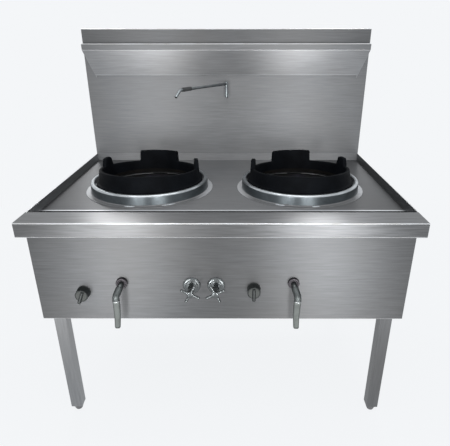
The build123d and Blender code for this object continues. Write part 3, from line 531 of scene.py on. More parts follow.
# The ledge and the front panel are the most scratched.
spreads = {"front_ledge": 0.30, "front_panel": 0.20}
for node, tone in sheets.items():
    nodes[node].data.materials[0] = brushed_sheet(
        f"{node}_brushed", 'X', tone, smooth_sheets.get(node, usual_roughness),
        spreads.get(node, usual_spread), painted_shade_fades.get(node))
# Painted light: one steel, lighter on the left rim and legs and darker on the right ones.
rim_lit_and_shaded_tones = {"left": 0.32, "right": 0.17}
leg_lit_and_shaded_tones = {"left": 0.26, "right": 0.165}
for side in sides:
    rim_steel = brushed_sheet(f"{side}_rim_brushed", 'Y', rim_lit_and_shaded_tones[side])
    nodes[f"{side}_side_rim"].data.materials[0] = rim_steel
    nodes[f"{side}_side_panel"].data.materials[0] = rim_steel
    leg_steel = brushed_sheet(f"{side}_leg_brushed_upright", 'Z', leg_lit_and_shaded_tones[side])
    for row in ("front", "rear"):
        nodes[f"{row}_{side}_leg"].data.materials[0] = leg_steel
print(len(sheets) + len(rim_lit_and_shaded_tones) + len(leg_lit_and_shaded_tones), "brushed finishes")

# %% [markdown]
# ### Folds with a painted highlight, and front strips with painted shade
#
# Where the sheet is folded, the press and years of cloths have rubbed the grain away. The
# thin bright line along each bend is a painted highlight: the bends are narrow faces in the
# workshop model, so they are found by their size and take a far lighter finish of their own,
# with no grain. The front strips are painted shade: the shelf's front strip, which faces the
# cook, is darker than its sloped underside, the ledge's lip is darker than its top, and the
# deck's flange and its forward-turned bends are near black, for the shade of the drain slot.

# %% Find the folds
bend_reach = 0.004


def spans(mesh, face):
    """How far a face reaches along Y and Z."""
    corners = [mesh.vertices[index].co for index in face.vertices]
    return [max(p[axis] for p in corners) - min(p[axis] for p in corners) for axis in (1, 2)]


# Painted highlight: the bends' finish, far lighter than the sheets round them.
def highlight_fold(name, tone, roughness=0.3):
    material, tree, shader = new_finish(name, 1.0, roughness)
    haze = use_group(tree, kitchen_haze, Size=14.0)
    steel = mix_colours(tree, haze['Haze'], shade(tone, 1.1, cool), shade(tone, 0.8, warm))
    paint(tree, shader, steel, haze['Haze'], roughness, roughness + 0.12)
    bump(tree, shader, haze['Specks'], 0.05, 0.0001)
    return material


fold_highlight_steel = highlight_fold("fold_painted_highlight", 0.5)
# Painted shade: darker copies of the sheet for front strips, near black for the deck's flange.
shaded_front_strips = {"shelf_cover": brushed_sheet("shelf_strip_shaded", 'X', 0.142),
                "front_ledge": brushed_sheet("ledge_lip_shaded", 'X', 0.122, 0.4, spread=0.32),
                "deck_plate": brushed_sheet("deck_flange_shaded", 'X', 0.03, 0.6)}
found = 0
for node in ("front_ledge", "deck_plate", "shelf_cover", "front_panel", "splashback_face"):
    mesh = nodes[node].data
    mesh.materials.append(fold_highlight_steel)
    if node in shaded_front_strips:
        mesh.materials.append(shaded_front_strips[node])
    for face in mesh.polygons:
        turned_away = min(abs(face.normal.y), abs(face.normal.z)) > 0.05
        if turned_away and abs(face.normal.x) < 0.2 and max(spans(mesh, face)) < bend_reach:
            face.material_index = 2 if node == "deck_plate" and face.normal.y < 0 else 1
            found += 1
        elif node in shaded_front_strips and face.normal.y < -0.99:
            face.material_index = 2
print(found, "fold faces")

# %% Paint a highlight along the deck's front edge
highlight_band = 0.014
highlight_full = 0.0105
deck_finish = nodes["deck_plate"].data.materials[0]
tree = deck_finish.node_tree
shader = tree.nodes["Principled BSDF"]
deck_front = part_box("deck_plate")[0].y
# Painted highlight: the deck turns pale grey within about 14 mm of its front edge.
deck_edge_highlight = remap(tree, coordinate(tree, 'Y'), deck_front + highlight_band, deck_front + highlight_full)
deck_colour = shader.inputs['Base Color'].links[0].from_socket
wire(tree, mix_colours(tree, deck_edge_highlight, deck_colour, shade(0.5, 1.0, cool)),
     shader.inputs['Base Color'])
print("edge band", highlight_band)

# %% [markdown]
# ### Tube, pipe and castings under the deck
#
# Below the deck nothing is brushed. The frame is dull mill-finish tube, the gas line is
# black iron pipe, the chambers are pressed drums that are tinted brown and then blue on the
# way up, and black with soot at the top, and the valves are cast and turned brass. Copper
# pipe has gone brown in patches. Each is a short recipe from the same groups.

# %% Finishes under the deck
def mill_steel(name, dark, light, roughness=0.5):
    """Dull rolled steel with a little rust-free staining."""
    material, tree, shader = new_finish(name, 1.0, roughness)
    haze = use_group(tree, kitchen_haze, Size=9.0)
    steel = mix_colours(tree, haze['Haze'], dark, light)
    steel = rub_and_highlight_edges(tree, steel, (0.5, 0.5, 0.5), 0.5, Width=0.0015)
    paint(tree, shader, steel, haze['Haze'], roughness - 0.08, roughness + 0.08)
    bump(tree, shader, haze['Specks'], 0.1, 0.0002)
    return material


def pitted_metal(name, dark, light, metallic, roughness, grain, depth, wear=2.5):
    """A sand casting or a forging, with pits and blotches."""
    material, tree, shader = new_finish(name, metallic, roughness)
    skin = use_group(tree, cast_skin, Grain=grain)
    tone = mix_colours(tree, remap(tree, skin['Tone'], 0.35, 0.65), dark, light)
    tone = rub_and_highlight_edges(tree, tone, scaled(light, wear, 0.003), 0.5, Width=0.002, Patchiness=90.0)
    paint(tree, shader, tone, skin['Pits'], roughness + 0.15, roughness - 0.05)
    bump(tree, shader, skin['Height'], 0.5, depth)
    return material


def dull(material, level):
    """Weakens the clear reflection of a surface that isn't bare metal."""
    shader = material.node_tree.nodes["Principled BSDF"]
    shader.inputs['Specular IOR Level'].default_value = level


def heat_tinted(name):
    """Pressed steel, brown and then blue on the way up, and black with soot at the top."""
    material, tree, shader = new_finish(name, 0.25, 0.6)
    skin = use_group(tree, cast_skin, Grain=160.0)
    low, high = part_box("left_burner_chamber")
    climb = remap(tree, coordinate(tree, 'Z'), low.z, high.z)
    waver = calculate(tree, 'ADD', climb, mix_values(tree, skin['Tone'], -0.25, 0.25))
    tints = add(tree, 'ShaderNodeValToRGB')
    stops = ((0.0, (0.05, 0.05, 0.05)), (0.45, (0.06, 0.056, 0.053)),
             (0.68, (0.055, 0.042, 0.028)), (0.84, (0.018, 0.018, 0.026)),
             (1.0, (0.008, 0.008, 0.008)))
    ramp = tints.color_ramp
    while len(ramp.elements) < len(stops):
        ramp.elements.new(1.0)
    for stop, (share, colour) in zip(ramp.elements, stops):
        stop.position = share
        stop.color = colour + (1.0,)
    wire(tree, waver, tints.inputs['Fac'])
    paint(tree, shader, tints.outputs['Color'], skin['Pits'], 0.75, 0.6)
    bump(tree, shader, skin['Tone'], 0.2, 0.0015)
    return material


frame_tube = mill_steel("frame_tube_mill_finish", (0.24, 0.245, 0.25), (0.34, 0.345, 0.35))
gas_pipe = pitted_metal("gas_pipe_black_iron", (0.035, 0.033, 0.032), (0.07, 0.066, 0.062),
                        0.6, 0.5, 600.0, 0.0004)
brass = pitted_metal("valve_brass", (0.36, 0.24, 0.085), (0.52, 0.37, 0.15), 1.0, 0.34,
                     900.0, 0.0002, wear=1.5)
copper = pitted_metal("pipe_copper", (0.30, 0.12, 0.055), (0.55, 0.25, 0.13), 1.0, 0.33,
                      300.0, 0.0001, wear=1.5)
burner_iron = pitted_metal("burner_cast_iron", (0.004, 0.004, 0.004), (0.012, 0.010, 0.009),
                           0.1, 0.7, 380.0, 0.0008)
# Painted shade: near black for the trim rings' inside below their ledge, which the shadowless low
# lamps would otherwise light.
painted_shade_steel = pitted_metal("ring_inside_painted_shade", (0.004, 0.004, 0.004), (0.010, 0.009, 0.008),
                           0.1, 0.75, 380.0, 0.0003)
dull(painted_shade_steel, 0.1)
chamber_steel = heat_tinted("chamber_heat_tinted")
dull(chamber_steel, 0.1)

finish_of_node = {"frame_rails": frame_tube, "gas_manifold": gas_pipe, "spray_bar": frame_tube,
                  "water_manifold": copper, "spout_supply": copper, "spray_supply": copper,
                  "pilot_burners": copper, "drain_outlet": frame_tube}
for side in sides:
    finish_of_node[f"{side}_gas_valve"] = brass
    finish_of_node[f"{side}_pilot_valve"] = brass
    finish_of_node[f"{side}_pilot_spindle"] = brass
    finish_of_node[f"{side}_burner"] = burner_iron
    finish_of_node[f"{side}_burner_chamber"] = chamber_steel
for node, finish in finish_of_node.items():
    nodes[node].data.materials[0] = finish
print(len(finish_of_node), "nodes finished under the deck")

# %% [markdown]
# ### Bright fittings, black iron and plastics
#
# Chrome in daily use is a dulled mirror with wiping marks. The spun rings round the wells were
# polished while they turned, so their grain runs round and their highlights stretch up and
# down the curve. Their bead, their inner ledge and their leaning faces take a far lighter copy
# of the metal than their upright wall: a painted highlight above, and painted shade on the
# wall. Their feet were rubbed down with the deck and have its straight grain, and are made
# lighter at the left and right, a painted highlight. The wok rings are iron with a dull black
# baked coat, a little lighter on the worn lips, partly as a painted highlight. The knobs are
# moulded in black plastic, and the spout's sleeve is ribbed rubber.

# %% Finishes of the visible fittings
quarter_turn = 0.25     # as a share of a full turn, as the shader wants it


def bright_metal(name, colour, roughness, marks=0.06, grit=0.04, spun=0.0):
    """Plated or polished metal with faint wiping marks. Spun metal has its grain round Z."""
    material, tree, shader = new_finish(name, 1.0, roughness)
    haze = use_group(tree, kitchen_haze, Size=30.0)
    tone = mix_colours(tree, haze['Haze'], colour, scaled(colour, 0.72))
    tone = rub_and_highlight_edges(tree, tone, scaled(colour, 1.5), 0.4, Width=0.0012, Patchiness=200.0)
    paint(tree, shader, tone, haze['Haze'], roughness, roughness + marks)
    if grit:
        bump(tree, shader, haze['Specks'], grit, 0.0001)
    if spun:
        smear(tree, shader, 'Z', spun, across=quarter_turn)
    return material


def moulded(name, colour, roughness, grain=700.0):
    """Moulded plastic or rubber: a fine satin skin, and scuffed edges with a painted highlight.
    """
    material, tree, shader = new_finish(name, 0.0, roughness)
    skin = use_group(tree, cast_skin, Grain=grain)
    tone = mix_colours(tree, skin['Tone'], colour, scaled(colour, 1.7, 0.004))
    tone = rub_and_highlight_edges(tree, tone, scaled(colour, 2.4, 0.05), 0.4, Width=0.0012, Patchiness=150.0)
    paint(tree, shader, tone, skin['Tone'], roughness - 0.06, roughness + 0.08)
    bump(tree, shader, skin['Height'], 0.25, 0.0002)
    return material


chrome = bright_metal("tap_chrome", (0.145, 0.155, 0.158), 0.21)
spout_chrome = bright_metal("spout_chrome", (0.23, 0.25, 0.26), 0.33)
# Painted light: a lighter and a darker copy of one spun metal, for the bead and the wall.
spun_metal_highlit = bright_metal("bead_spun_bright", (0.50, 0.53, 0.55), 0.28, grit=0.0, spun=0.5)
spun_metal_shaded = bright_metal("trim_spun_wall", (0.18, 0.205, 0.22), 0.34, grit=0.0, spun=0.6)
# Painted highlight: the foot is lightened up to 2.6 times at its left and right sides.
trim_foot_highlit_metal = brushed_sheet("trim_foot_brushed", 'X', 0.155, spread=0.1,
                                fade=('X', 0.17, 0.225, 1.0, 2.6))
ring_iron = pitted_metal("wok_ring_black_iron", (0.0012, 0.0016, 0.0024), (0.003, 0.0038, 0.0052),
                         0.0, 0.66, 520.0, 0.0005)
dull(ring_iron, 0.05)
boss_metal = pitted_metal("lever_boss_metal", (0.040, 0.037, 0.041), (0.075, 0.070, 0.076),
                          0.9, 0.42, 500.0, 0.0002, wear=1.5)
lever_metal = bright_metal("lever_satin_metal", (0.125, 0.135, 0.13), 0.45, marks=0.1)
collar_metal = bright_metal("lever_collar_polished", (0.48, 0.50, 0.50), 0.22)
knob_plastic = moulded("knob_black_plastic", (0.008, 0.010, 0.010), 0.4)
dull(knob_plastic, 0.3)
knob_face_plastic = moulded("knob_face_plastic", (0.018, 0.021, 0.019), 0.5)
pointer_paint = moulded("knob_pointer_paint", (0.055, 0.06, 0.058), 0.5)
grip_rubber = moulded("spout_grip_rubber", (0.012, 0.013, 0.014), 0.55)
foot_plastic = moulded("foot_dark_plastic", (0.055, 0.055, 0.058), 0.5)
print(len(bpy.data.materials), "materials")

# %% [markdown]
# ## Building finer pieces
#
# Every finer piece below is a net of quads made by a formula: an outline spun about an axis,
# a section carried along a path, or a height that changes round a ring. A few helpers do all
# of it. `rounded` turns the corners of an outline into arcs, `skin` joins rows of points
# into faces, `lathe` spins an outline and `swept` follows a path. `set_piece` then puts the
# finished mesh in its place, gives it its materials and ties it to the body that it rides on.

# %% Round the corners of an outline
def rounded(points, radii, closed=False, steps=4):
    """The same outline with its corners as arcs. Radii are one number or one per corner.

    A point is (x, y, z), or (radius, height) on something that will be turned.
    """
    points = [Vector(p if len(p) == 3 else (p[0], 0, p[1])) for p in points]
    if not isinstance(radii, (list, tuple)):
        radii = [radii] * len(points)
    outline = []
    for index, corner in enumerate(points):
        at_end = not closed and index in (0, len(points) - 1)
        if at_end or radii[index] == 0:
            outline.append(corner)
            continue
        to_last = points[index - 1] - corner
        to_next = points[(index + 1) % len(points)] - corner
        half_angle = to_last.angle(to_next) / 2
        reach = min(radii[index] / tan(half_angle), 0.48 * min(to_last.length, to_next.length))
        start = corner + to_last.normalized() * reach
        end = corner + to_next.normalized() * reach
        inward = (to_last.normalized() + to_next.normalized()).normalized()
        centre = corner + inward * reach / cos(half_angle)
        sweep_turn = (start - centre).rotation_difference(end - centre)
        for step in range(steps + 1):
            turn = Quaternion().slerp(sweep_turn, step / steps)
            outline.append(centre + turn @ (start - centre))
    return outline


# %% Join rows of points into a skin
def skin(shape, rows, close_rows=False, close_points=False, caps=False):
    """A net of quads between rows of points, with optional end faces."""
    grid = [[shape.verts.new(point) for point in row] for row in rows]
    row_count = len(grid)
    point_count = len(grid[0])
    for i in range(row_count if close_rows else row_count - 1):
        for j in range(point_count if close_points else point_count - 1):
            here, there = grid[i], grid[(i + 1) % row_count]
            after = (j + 1) % point_count
            shape.faces.new((here[j], here[after], there[after], there[j]))
    if caps:
        shape.faces.new(grid[0][::-1])
        shape.faces.new(grid[-1])


def turned(shape, outline, steps=64, place=Matrix()):
    """Spins an outline from rounded() about the Z axis, then places it."""
    rows = [[place @ (Matrix.Rotation(2 * pi * step / steps, 3, 'Z') @ point)
             for point in outline] for step in range(steps)]
    skin(shape, rows, close_rows=True)


def lathe(shape, corners, radii, steps, arc_steps=4, place=Matrix()):
    """Turns an outline of (radius, height) corners, each rounded by its own radius."""
    turned(shape, rounded(corners, radii, steps=arc_steps), steps, place)


def swept(shape, path, section_at, caps=True):
    """Carries a closed section along a path. section_at(share of the way) gives its points."""
    ahead = [(path[min(i + 1, len(path) - 1)] - path[max(i - 1, 0)]).normalized()
             for i in range(len(path))]
    across = ahead[0].orthogonal().normalized()
    if abs(ahead[0].x) < 0.9:
        across = (Vector((1, 0, 0)) - ahead[0] * ahead[0].x).normalized()
    rows = []
    for index, point in enumerate(path):
        if index:
            across = ahead[index - 1].rotation_difference(ahead[index]) @ across
        up = ahead[index].cross(across)
        share = index / (len(path) - 1)
        rows.append([point + across * a + up * b for a, b in section_at(share)])
    skin(shape, rows, close_points=True, caps=caps)


def ball_end(radius, middle, start):
    """Outline of a ball from a direction, in degrees, up to its top."""
    start = radians(start)
    turns = [start + (pi / 2 - start) * step / 10 for step in range(11)]
    return [Vector((radius * cos(turn), 0, middle + radius * sin(turn))) for turn in turns]


def circle(radius, sides=24):
    return [(radius * cos(2 * pi * i / sides), radius * sin(2 * pi * i / sides))
            for i in range(sides)]


# %% Put a finished mesh in its place
weld_distance = 2e-6
crease_angle = radians(38)


def set_piece(name, shape, place, finishes, slot, body, *stands_for):
    """Makes the object, dresses it, and ties it to the frame."""
    bmesh.ops.remove_doubles(shape, verts=shape.verts, dist=weld_distance)
    bmesh.ops.recalc_face_normals(shape, faces=shape.faces)
    mesh = bpy.data.meshes.new(name)
    shape.to_mesh(mesh)
    shape.free()
    mesh.shade_smooth()
    mesh.set_sharp_from_angle(angle=crease_angle)
    for finish in finishes:
        mesh.materials.append(finish)
    piece = bpy.data.objects.new(name, mesh)
    scene.collection.objects.link(piece)
    piece.matrix_world = place
    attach(piece, body)
    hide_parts(*stands_for)
    print(name, len(mesh.polygons), "faces on", body)


def foot_of(node):
    """The place at the middle of a node's box, on its underside."""
    low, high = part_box(node)
    return Matrix.Translation(((low.x + high.x) / 2, (low.y + high.y) / 2, low.z))


def joint_origin(name):
    """Where a joint's axis passes, from the record."""
    for joint in frame["joints"]:
        if joint["name"] == name:
            return Vector(joint["pos_m"])
    raise KeyError(name)


# %% [markdown]
# ## Wok rings
#
# A wok ring is one iron casting. A flat flange lies in the well's steel rim, and a wall
# stands on it that is high at the cook's side, to stop splashes, and lower at the back,
# where the flue gas leaves. Three lugs carry a wok's rim: a broad one at the back and one on
# each side. Nothing on it is sharp, because the pattern had to leave the sand.
#
# One outline is drawn for each direction round the ring, and its height is a formula: a
# tilted plane, raised to the lugs where there is one. Booleans of separate blocks would be
# quicker to write, but they can't give one flowing skin with rounded roots.

# %% Heights round a wok ring
low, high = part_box("left_wok_ring")
ring_reach = (high.x - low.x) / 2
lug_height = high.z - low.z
ring_bore = 0.168
flange_thickness = 0.010
wall_foot = 0.186
wall_top = 0.1795
lug_outer = 0.182
wall_front_height = 0.062
wall_rear_height = 0.032
lug_root = 0.005
# Width of the flat top with its corners, corner radius, and run of the sloped side.
side_lug = (0.042, 0.010, 0.006)
rear_lug = (0.153, 0.006, 0.002)
lugs = {90.0: rear_lug, 167.5: side_lug, 12.5: side_lug}
ring_turns = {"left": -4.0, "right": 6.0}
lug_middle_radius = (ring_bore + lug_outer) / 2


def wall_height(angle):
    """Top of the wall: highest towards -Y, lowest towards +Y."""
    mean = (wall_front_height + wall_rear_height) / 2
    half_fall = (wall_front_height - wall_rear_height) / 2
    return mean - half_fall * sin(radians(angle))


def lug_at(angle):
    """Height of a lug above the seat and how far it is a lug, from 0 to 1."""
    for direction, (width, corner, run) in lugs.items():
        apart = abs((angle - direction + 180) % 360 - 180)
        past = radians(apart) * lug_middle_radius - width / 2
        root_top = wall_height(angle) + lug_root
        if past <= -corner:
            return lug_height, 1.0
        if past <= 0:
            over = (past + corner) / corner
            return lug_height - corner * (1 - sqrt(max(1 - over * over, 0))), 1.0
        if past < run:
            side_top = lug_height - corner
            return side_top + (root_top - side_top) * past / run, 1.0
        if past < run + lug_root:
            left = 1 - (past - run) / lug_root
            return root_top - lug_root * sqrt(1 - left * left), left * 0.5
    return 0.0, 0.0


def ring_angles():
    """Directions to draw: even ones, and close ones over each lug's corners."""
    angles = {float(step) for step in range(0, 360, 3)}
    for direction, (width, corner, run) in lugs.items():
        marks = [width / 2 - corner * (1 - sin(pi / 2 * step / 6)) for step in range(7)]
        marks += [width / 2 + run * step / 4 for step in range(1, 5)]
        marks += [width / 2 + run + lug_root * step / 5 for step in range(1, 6)]
        for mark in marks:
            for sign in (-1, 1):
                angles.add((direction + sign * degrees(mark / lug_middle_radius)) % 360)
    return sorted(angles)


print("ring reach", round(ring_reach, 4), "lug height", round(lug_height, 4))

# %% Cast the two wok rings
def ring_outline(angle):
    lug_top, lug_share = lug_at(angle)
    top = max(wall_height(angle), lug_top)
    outer_top = wall_top + (lug_outer - wall_top) * lug_share
    corners = [(ring_bore, 0), (ring_bore, top), (outer_top, top), (wall_foot, flange_thickness),
               (ring_reach, flange_thickness), (ring_reach, 0)]
    return rounded(corners, [0.001, 0.0035, 0.0035, 0.005, 0.0025, 0.001], closed=True, steps=4)


def cast_ring(side):
    shape = bmesh.new()
    rows = []
    for angle in ring_angles():
        turn = Matrix.Rotation(radians(angle), 3, 'Z')
        rows.append([turn @ point for point in ring_outline(angle)])
    skin(shape, rows, close_rows=True, close_points=True)
    turn = Matrix.Rotation(radians(ring_turns[side]), 4, 'Z')
    set_piece(f"{side}_wok_ring_casting", shape, foot_of(f"{side}_wok_ring") @ turn,
              [ring_iron], "black_iron", f"{side}_wok_support", f"{side}_wok_ring")


for side in sides:
    cast_ring(side)

# %% [markdown]
# ## Spun trim rings
#
# The bright ring round each well is spun from one disc: a foot that lies on the deck, an
# upright wall, a rolled bead on top, and a ledge inside that carries the iron ring. Two short
# weld runs at the cook's side hold the wall to the deck. They take the bead's lighter finish,
# so they show as bright streaks, a painted highlight. Each run follows the ring, so it is drawn
# round the same centre, as a low mound with ripples.

# %% Spin the trim rings
ring_metal = 0.0015
bead = 0.008
bead_out = 0.215
ledge_inner = 0.184
ledge_fall = 0.002
upright_lean = 0.35
foot_root = 0.006
trim_finishes = [spun_metal_highlit, spun_metal_shaded, trim_foot_highlit_metal, painted_shade_steel]
weld_width = 0.0045
weld_height = 0.0022
weld_ripple = 0.006
# Where each run's middle lies round the ring, in degrees, and how long it is.
weld_runs = {"left": ((-99, 0.040), (-64, 0.052)), "right": ((-114, 0.038), (-82, 0.030))}


def weld_run(shape, angle, length):
    """A low rippled mound of weld metal along the foot of the ring's wall."""
    middle = bead_out + weld_width * 0.7
    half_turn = degrees(length / 2 / middle)
    rows = []
    steps = round(length / 0.0012)
    for i in range(steps + 1):
        share = 2 * i / steps - 1
        swell = (1 - share ** 4) * (1 + 0.14 * sin(2 * pi * share * length / 2 / weld_ripple))
        turn = Matrix.Rotation(radians(angle + half_turn * share), 3, 'Z')
        rows.append([turn @ Vector((middle + weld_width * max(swell, 0.05) * cos(pi * j / 8), 0,
                                    ring_metal * 0.8 + weld_height * swell * sin(pi * j / 8)))
                     for j in range(9)])
    skin(shape, rows)


def trim_finish(centre, lean, ledge):
    """The finish of a face, by where it is and how far it leans from upright."""
    reach = centre.xy.length
    # Painted shade: faces inside the ring and below its ledge.
    if centre.z < ledge - ring_metal / 2 and reach < bead_out - ring_metal / 2:
        return painted_shade_steel
    if reach <= bead_out - bead:
        return spun_metal_highlit
    if centre.z < ring_metal or (centre.z < foot_root and lean > upright_lean):
        return trim_foot_highlit_metal
    # Painted light: upright faces take the darker copy, and leaning faces the lighter one.
    return spun_metal_shaded if lean < upright_lean else spun_metal_highlit


def spin_trim(side):
    low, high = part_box(f"{side}_trim_ring")
    foot_reach = (high.x - low.x) / 2
    bead_in = bead_out - 2 * bead
    bead_top = high.z - low.z
    ledge = bead_top - bead - ledge_fall
    corners = [(ledge_inner, ledge - ring_metal), (ledge_inner, ledge),
               (bead_in, ledge), (bead_in, bead_top), (bead_out, bead_top),
               (bead_out, ring_metal), (foot_reach, ring_metal), (foot_reach, 0),
               (bead_out - ring_metal, 0), (bead_out - ring_metal, bead_top - ring_metal),
               (bead_in + ring_metal, bead_top - ring_metal),
               (bead_in + ring_metal, ledge - ring_metal)]
    radii = [0.0005, 0.0005, 0.002, bead * 0.98, bead * 0.98, 0.004, 0.0006, 0.0004,
             0.002, bead - ring_metal, bead - ring_metal, 0.0008]
    outline = rounded(corners, radii, closed=True, steps=6)
    shape = bmesh.new()
    turned(shape, outline + outline[:1], steps=192)
    shape.normal_update()
    spun_faces = len(shape.faces)
    for angle, length in weld_runs[side]:
        weld_run(shape, angle, length)
    shape.faces.ensure_lookup_table()
    for face in shape.faces[:spun_faces]:
        finish = trim_finish(face.calc_center_median(), abs(face.normal.z), ledge)
        face.material_index = trim_finishes.index(finish)
    set_piece(f"{side}_spun_ring", shape, foot_of(f"{side}_trim_ring"), trim_finishes,
              "polished_trim", "bench", f"{side}_trim_ring")


for side in sides:
    spin_trim(side)

# %% [markdown]
# ## Controls on the front panel
#
# Everything on the front panel is drawn lying down, with +Z pointing out of the panel and +Y
# up, and is then tipped up into its place by one matrix. The height of the panel's face
# comes from the frame.

# %% Place things on the panel
panel_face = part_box("front_panel")[0].y


def on_panel(x, z, turn=0.0):
    """A place on the panel's face, turned about its outward axis by some degrees."""
    return (Matrix.Translation((x, panel_face, z)) @ Matrix.Rotation(radians(90), 4, 'X')
            @ Matrix.Rotation(radians(turn), 4, 'Z'))


def on_joint(name, turn=0.0):
    """The place on the panel's face that a control's axis passes through."""
    where = joint_origin(name)
    return on_panel(where.x, where.z, turn)


print("panel face at y", round(panel_face, 4))

# %% [markdown]
# ## Gas levers
#
# Each main burner has a lever that the cook works with a knee or hand: a round boss on the
# valve's stem, a knurled bent neck, a bright collar and a flat grip that hangs down past the
# panel's edge. The knurl is real geometry, two sets of crossing ridges that push the neck's
# skin out and in, because at this size it changes the outline.

# %% Lever boss
boss_gap = 0.0003
boss_depth = 0.014
boss_radius = 0.018
boss_recess = 0.0118
boss_recess_depth = 0.0010
stem_radius = 0.005
stem_end = -0.028


def lever_boss(side):
    top = boss_gap + boss_depth
    corners = [(0, boss_gap), (boss_radius * 0.93, boss_gap),
               (boss_radius, boss_gap + 0.004), (boss_radius, top),
               (boss_recess + 0.001, top), (boss_recess, top - boss_recess_depth),
               (0, top - boss_recess_depth)]
    shape = bmesh.new()
    lathe(shape, corners, [0, 0.001, 0.001, 0.007, 0.0005, 0.0005, 0], 72, arc_steps=6)
    stem = [(0, stem_end), (stem_radius, stem_end), (stem_radius, boss_gap)]
    lathe(shape, stem, [0, 0.0008, 0], 32)
    set_piece(f"{side}_lever_boss", shape, on_joint(f"{side}_lever_turn"), [boss_metal],
              "lever_boss_metal", f"{side}_gas_lever", f"{side}_lever_hub")


for side in sides:
    lever_boss(side)

# %% Lever neck, collar and grip
lever_stand_off = 0.052
neck_radius = 0.0102
waist_radius = 0.0092
neck_bend = 0.014
neck_start = 0.010
neck_end_run = 0.012
neck_drop = 0.035
neck_lean = 0.010
knurl_ridges = 14
knurl_pitch = 0.0064
knurl_height = 0.0008
knurl_start = 0.016
knurl_fade = 0.004
collar_radius = 0.0113
collar_length = 0.005
grip_length = 0.096
grip_top_width = 0.022
grip_end_width = 0.0175
grip_thickness = 0.010
grip_lean = 0.003
grip_rounding = 0.004
grip_corner = 0.0042
grip_bow = 0.0016
lever_hang = -1.5


def even_steps(path, spacing):
    """The same path with points at an even spacing along it."""
    result = [path[0]]
    for first, second in zip(path, path[1:]):
        count = max(1, round((second - first).length / spacing))
        result += [first.lerp(second, step / count) for step in range(1, count + 1)]
    return result


def soft_rectangle(width, thickness, corner, steps=4):
    """A rounded rectangle as a closed section."""
    half, side = width / 2, thickness / 2
    corners = [(-half, -side, 0), (half, -side, 0), (half, side, 0), (-half, side, 0)]
    return [(p.x, p.y) for p in rounded(corners, corner, closed=True, steps=steps)]


def lever_arm(side):
    lean = neck_lean if side == "right" else -neck_lean
    boss_front = boss_gap + boss_depth
    start = Vector((0, 0, boss_front - boss_recess_depth))
    leaves = Vector((0, 0, boss_front + neck_start))
    arrives = Vector((lean, neck_end_run - neck_drop, lever_stand_off))
    neck_end = Vector((lean, -neck_drop, lever_stand_off))
    bends = rounded([start, leaves, arrives, neck_end], neck_bend, steps=12)
    path = even_steps(bends, 0.0009)
    travelled = [0.0]
    for first, second in zip(path, path[1:]):
        travelled.append(travelled[-1] + (second - first).length)
    whole = travelled[-1]

    def knurled(share):
        distance = share * whole
        fade_in = min(1.0, max(0.0, (distance - knurl_start) / knurl_fade))
        plain = waist_radius + (neck_radius - waist_radius) * fade_in
        points = []
        sides = 64
        for i in range(sides):
            turn = 2 * pi * i / sides
            first = sin(knurl_ridges / 2 * turn + 2 * pi * distance / knurl_pitch / 2)
            second = sin(knurl_ridges / 2 * turn - 2 * pi * distance / knurl_pitch / 2)
            ridge = (abs(first) + abs(second) - 1) * knurl_height * fade_in
            points.append(((plain + ridge) * cos(turn), (plain + ridge) * sin(turn)))
        return points

    shape = bmesh.new()
    swept(shape, path, knurled)
    neck_faces = len(shape.faces)

    collar = [(0, 0), (collar_radius, 0), (collar_radius, collar_length), (0, collar_length)]
    lathe(shape, collar, [0, 0.0012, 0.0012, 0], 48,
          place=Matrix.Translation(neck_end) @ Matrix.Rotation(radians(90), 4, 'X'))
    collar_faces = len(shape.faces)

    top = neck_end + Vector((0, -collar_length, 0))
    end = top + Vector((grip_lean if side == "right" else -grip_lean, -grip_length, 0))
    steps = 28
    rows = []
    for step in range(steps + 1):
        share = step / steps
        centre = top.lerp(end, share)
        centre.x -= (1 if side == "right" else -1) * grip_bow * sin(pi * share)
        width = grip_top_width + (grip_end_width - grip_top_width) * share
        from_end = min(share, 1 - share) * grip_length
        squeeze = 1.0
        if from_end < grip_rounding:
            squeeze = 0.8 + 0.2 * sqrt(max(0.0, 1 - (1 - from_end / grip_rounding) ** 2))
        section = soft_rectangle(width * squeeze, grip_thickness * squeeze, grip_corner)
        rows.append([centre + Vector((a, 0, b)) for a, b in section])
    skin(shape, rows, close_points=True, caps=True)
    shape.faces.ensure_lookup_table()
    for index, face in enumerate(shape.faces):
        if neck_faces <= index < collar_faces:
            face.material_index = 1
        elif index >= collar_faces:
            face.material_index = 2
    set_piece(f"{side}_lever_arm", shape, on_joint(f"{side}_lever_turn", lever_hang),
              [neck_metal, collar_metal, lever_metal], "lever_metal", f"{side}_gas_lever",
              f"{side}_lever_handle")


neck_metal = bright_metal("lever_neck_metal", (0.11, 0.12, 0.12), 0.3, marks=0.12)
for side in sides:
    lever_arm(side)

# %% [markdown]
# ## Pilot knobs
#
# A pilot knob is moulded in black plastic: a round skirt, a slightly tapered body and a
# raised bar that points down to show where the flame is set. It turns, and pushes in to let
# the pilot's gas through. The bar is a loft, so that its edges are soft and its front slopes.

# %% Mould the knobs
knob_gap = 0.0045
skirt_depth = 0.003
skirt_radius = 0.0215
knob_radius = 0.0205
knob_draft = 0.0005
knob_depth = 0.029
face_rim = 0.0035
face_dish = 0.0008
bar_rise = 0.004
bar_width = 0.013
bar_reach = 0.031
bar_draft = 0.0015
paint_width = 0.0012
paint_start = -0.024
paint_end = 0.010
paint_rise = 0.00015
knob_turns = {"left": -22.0, "right": 0.0}


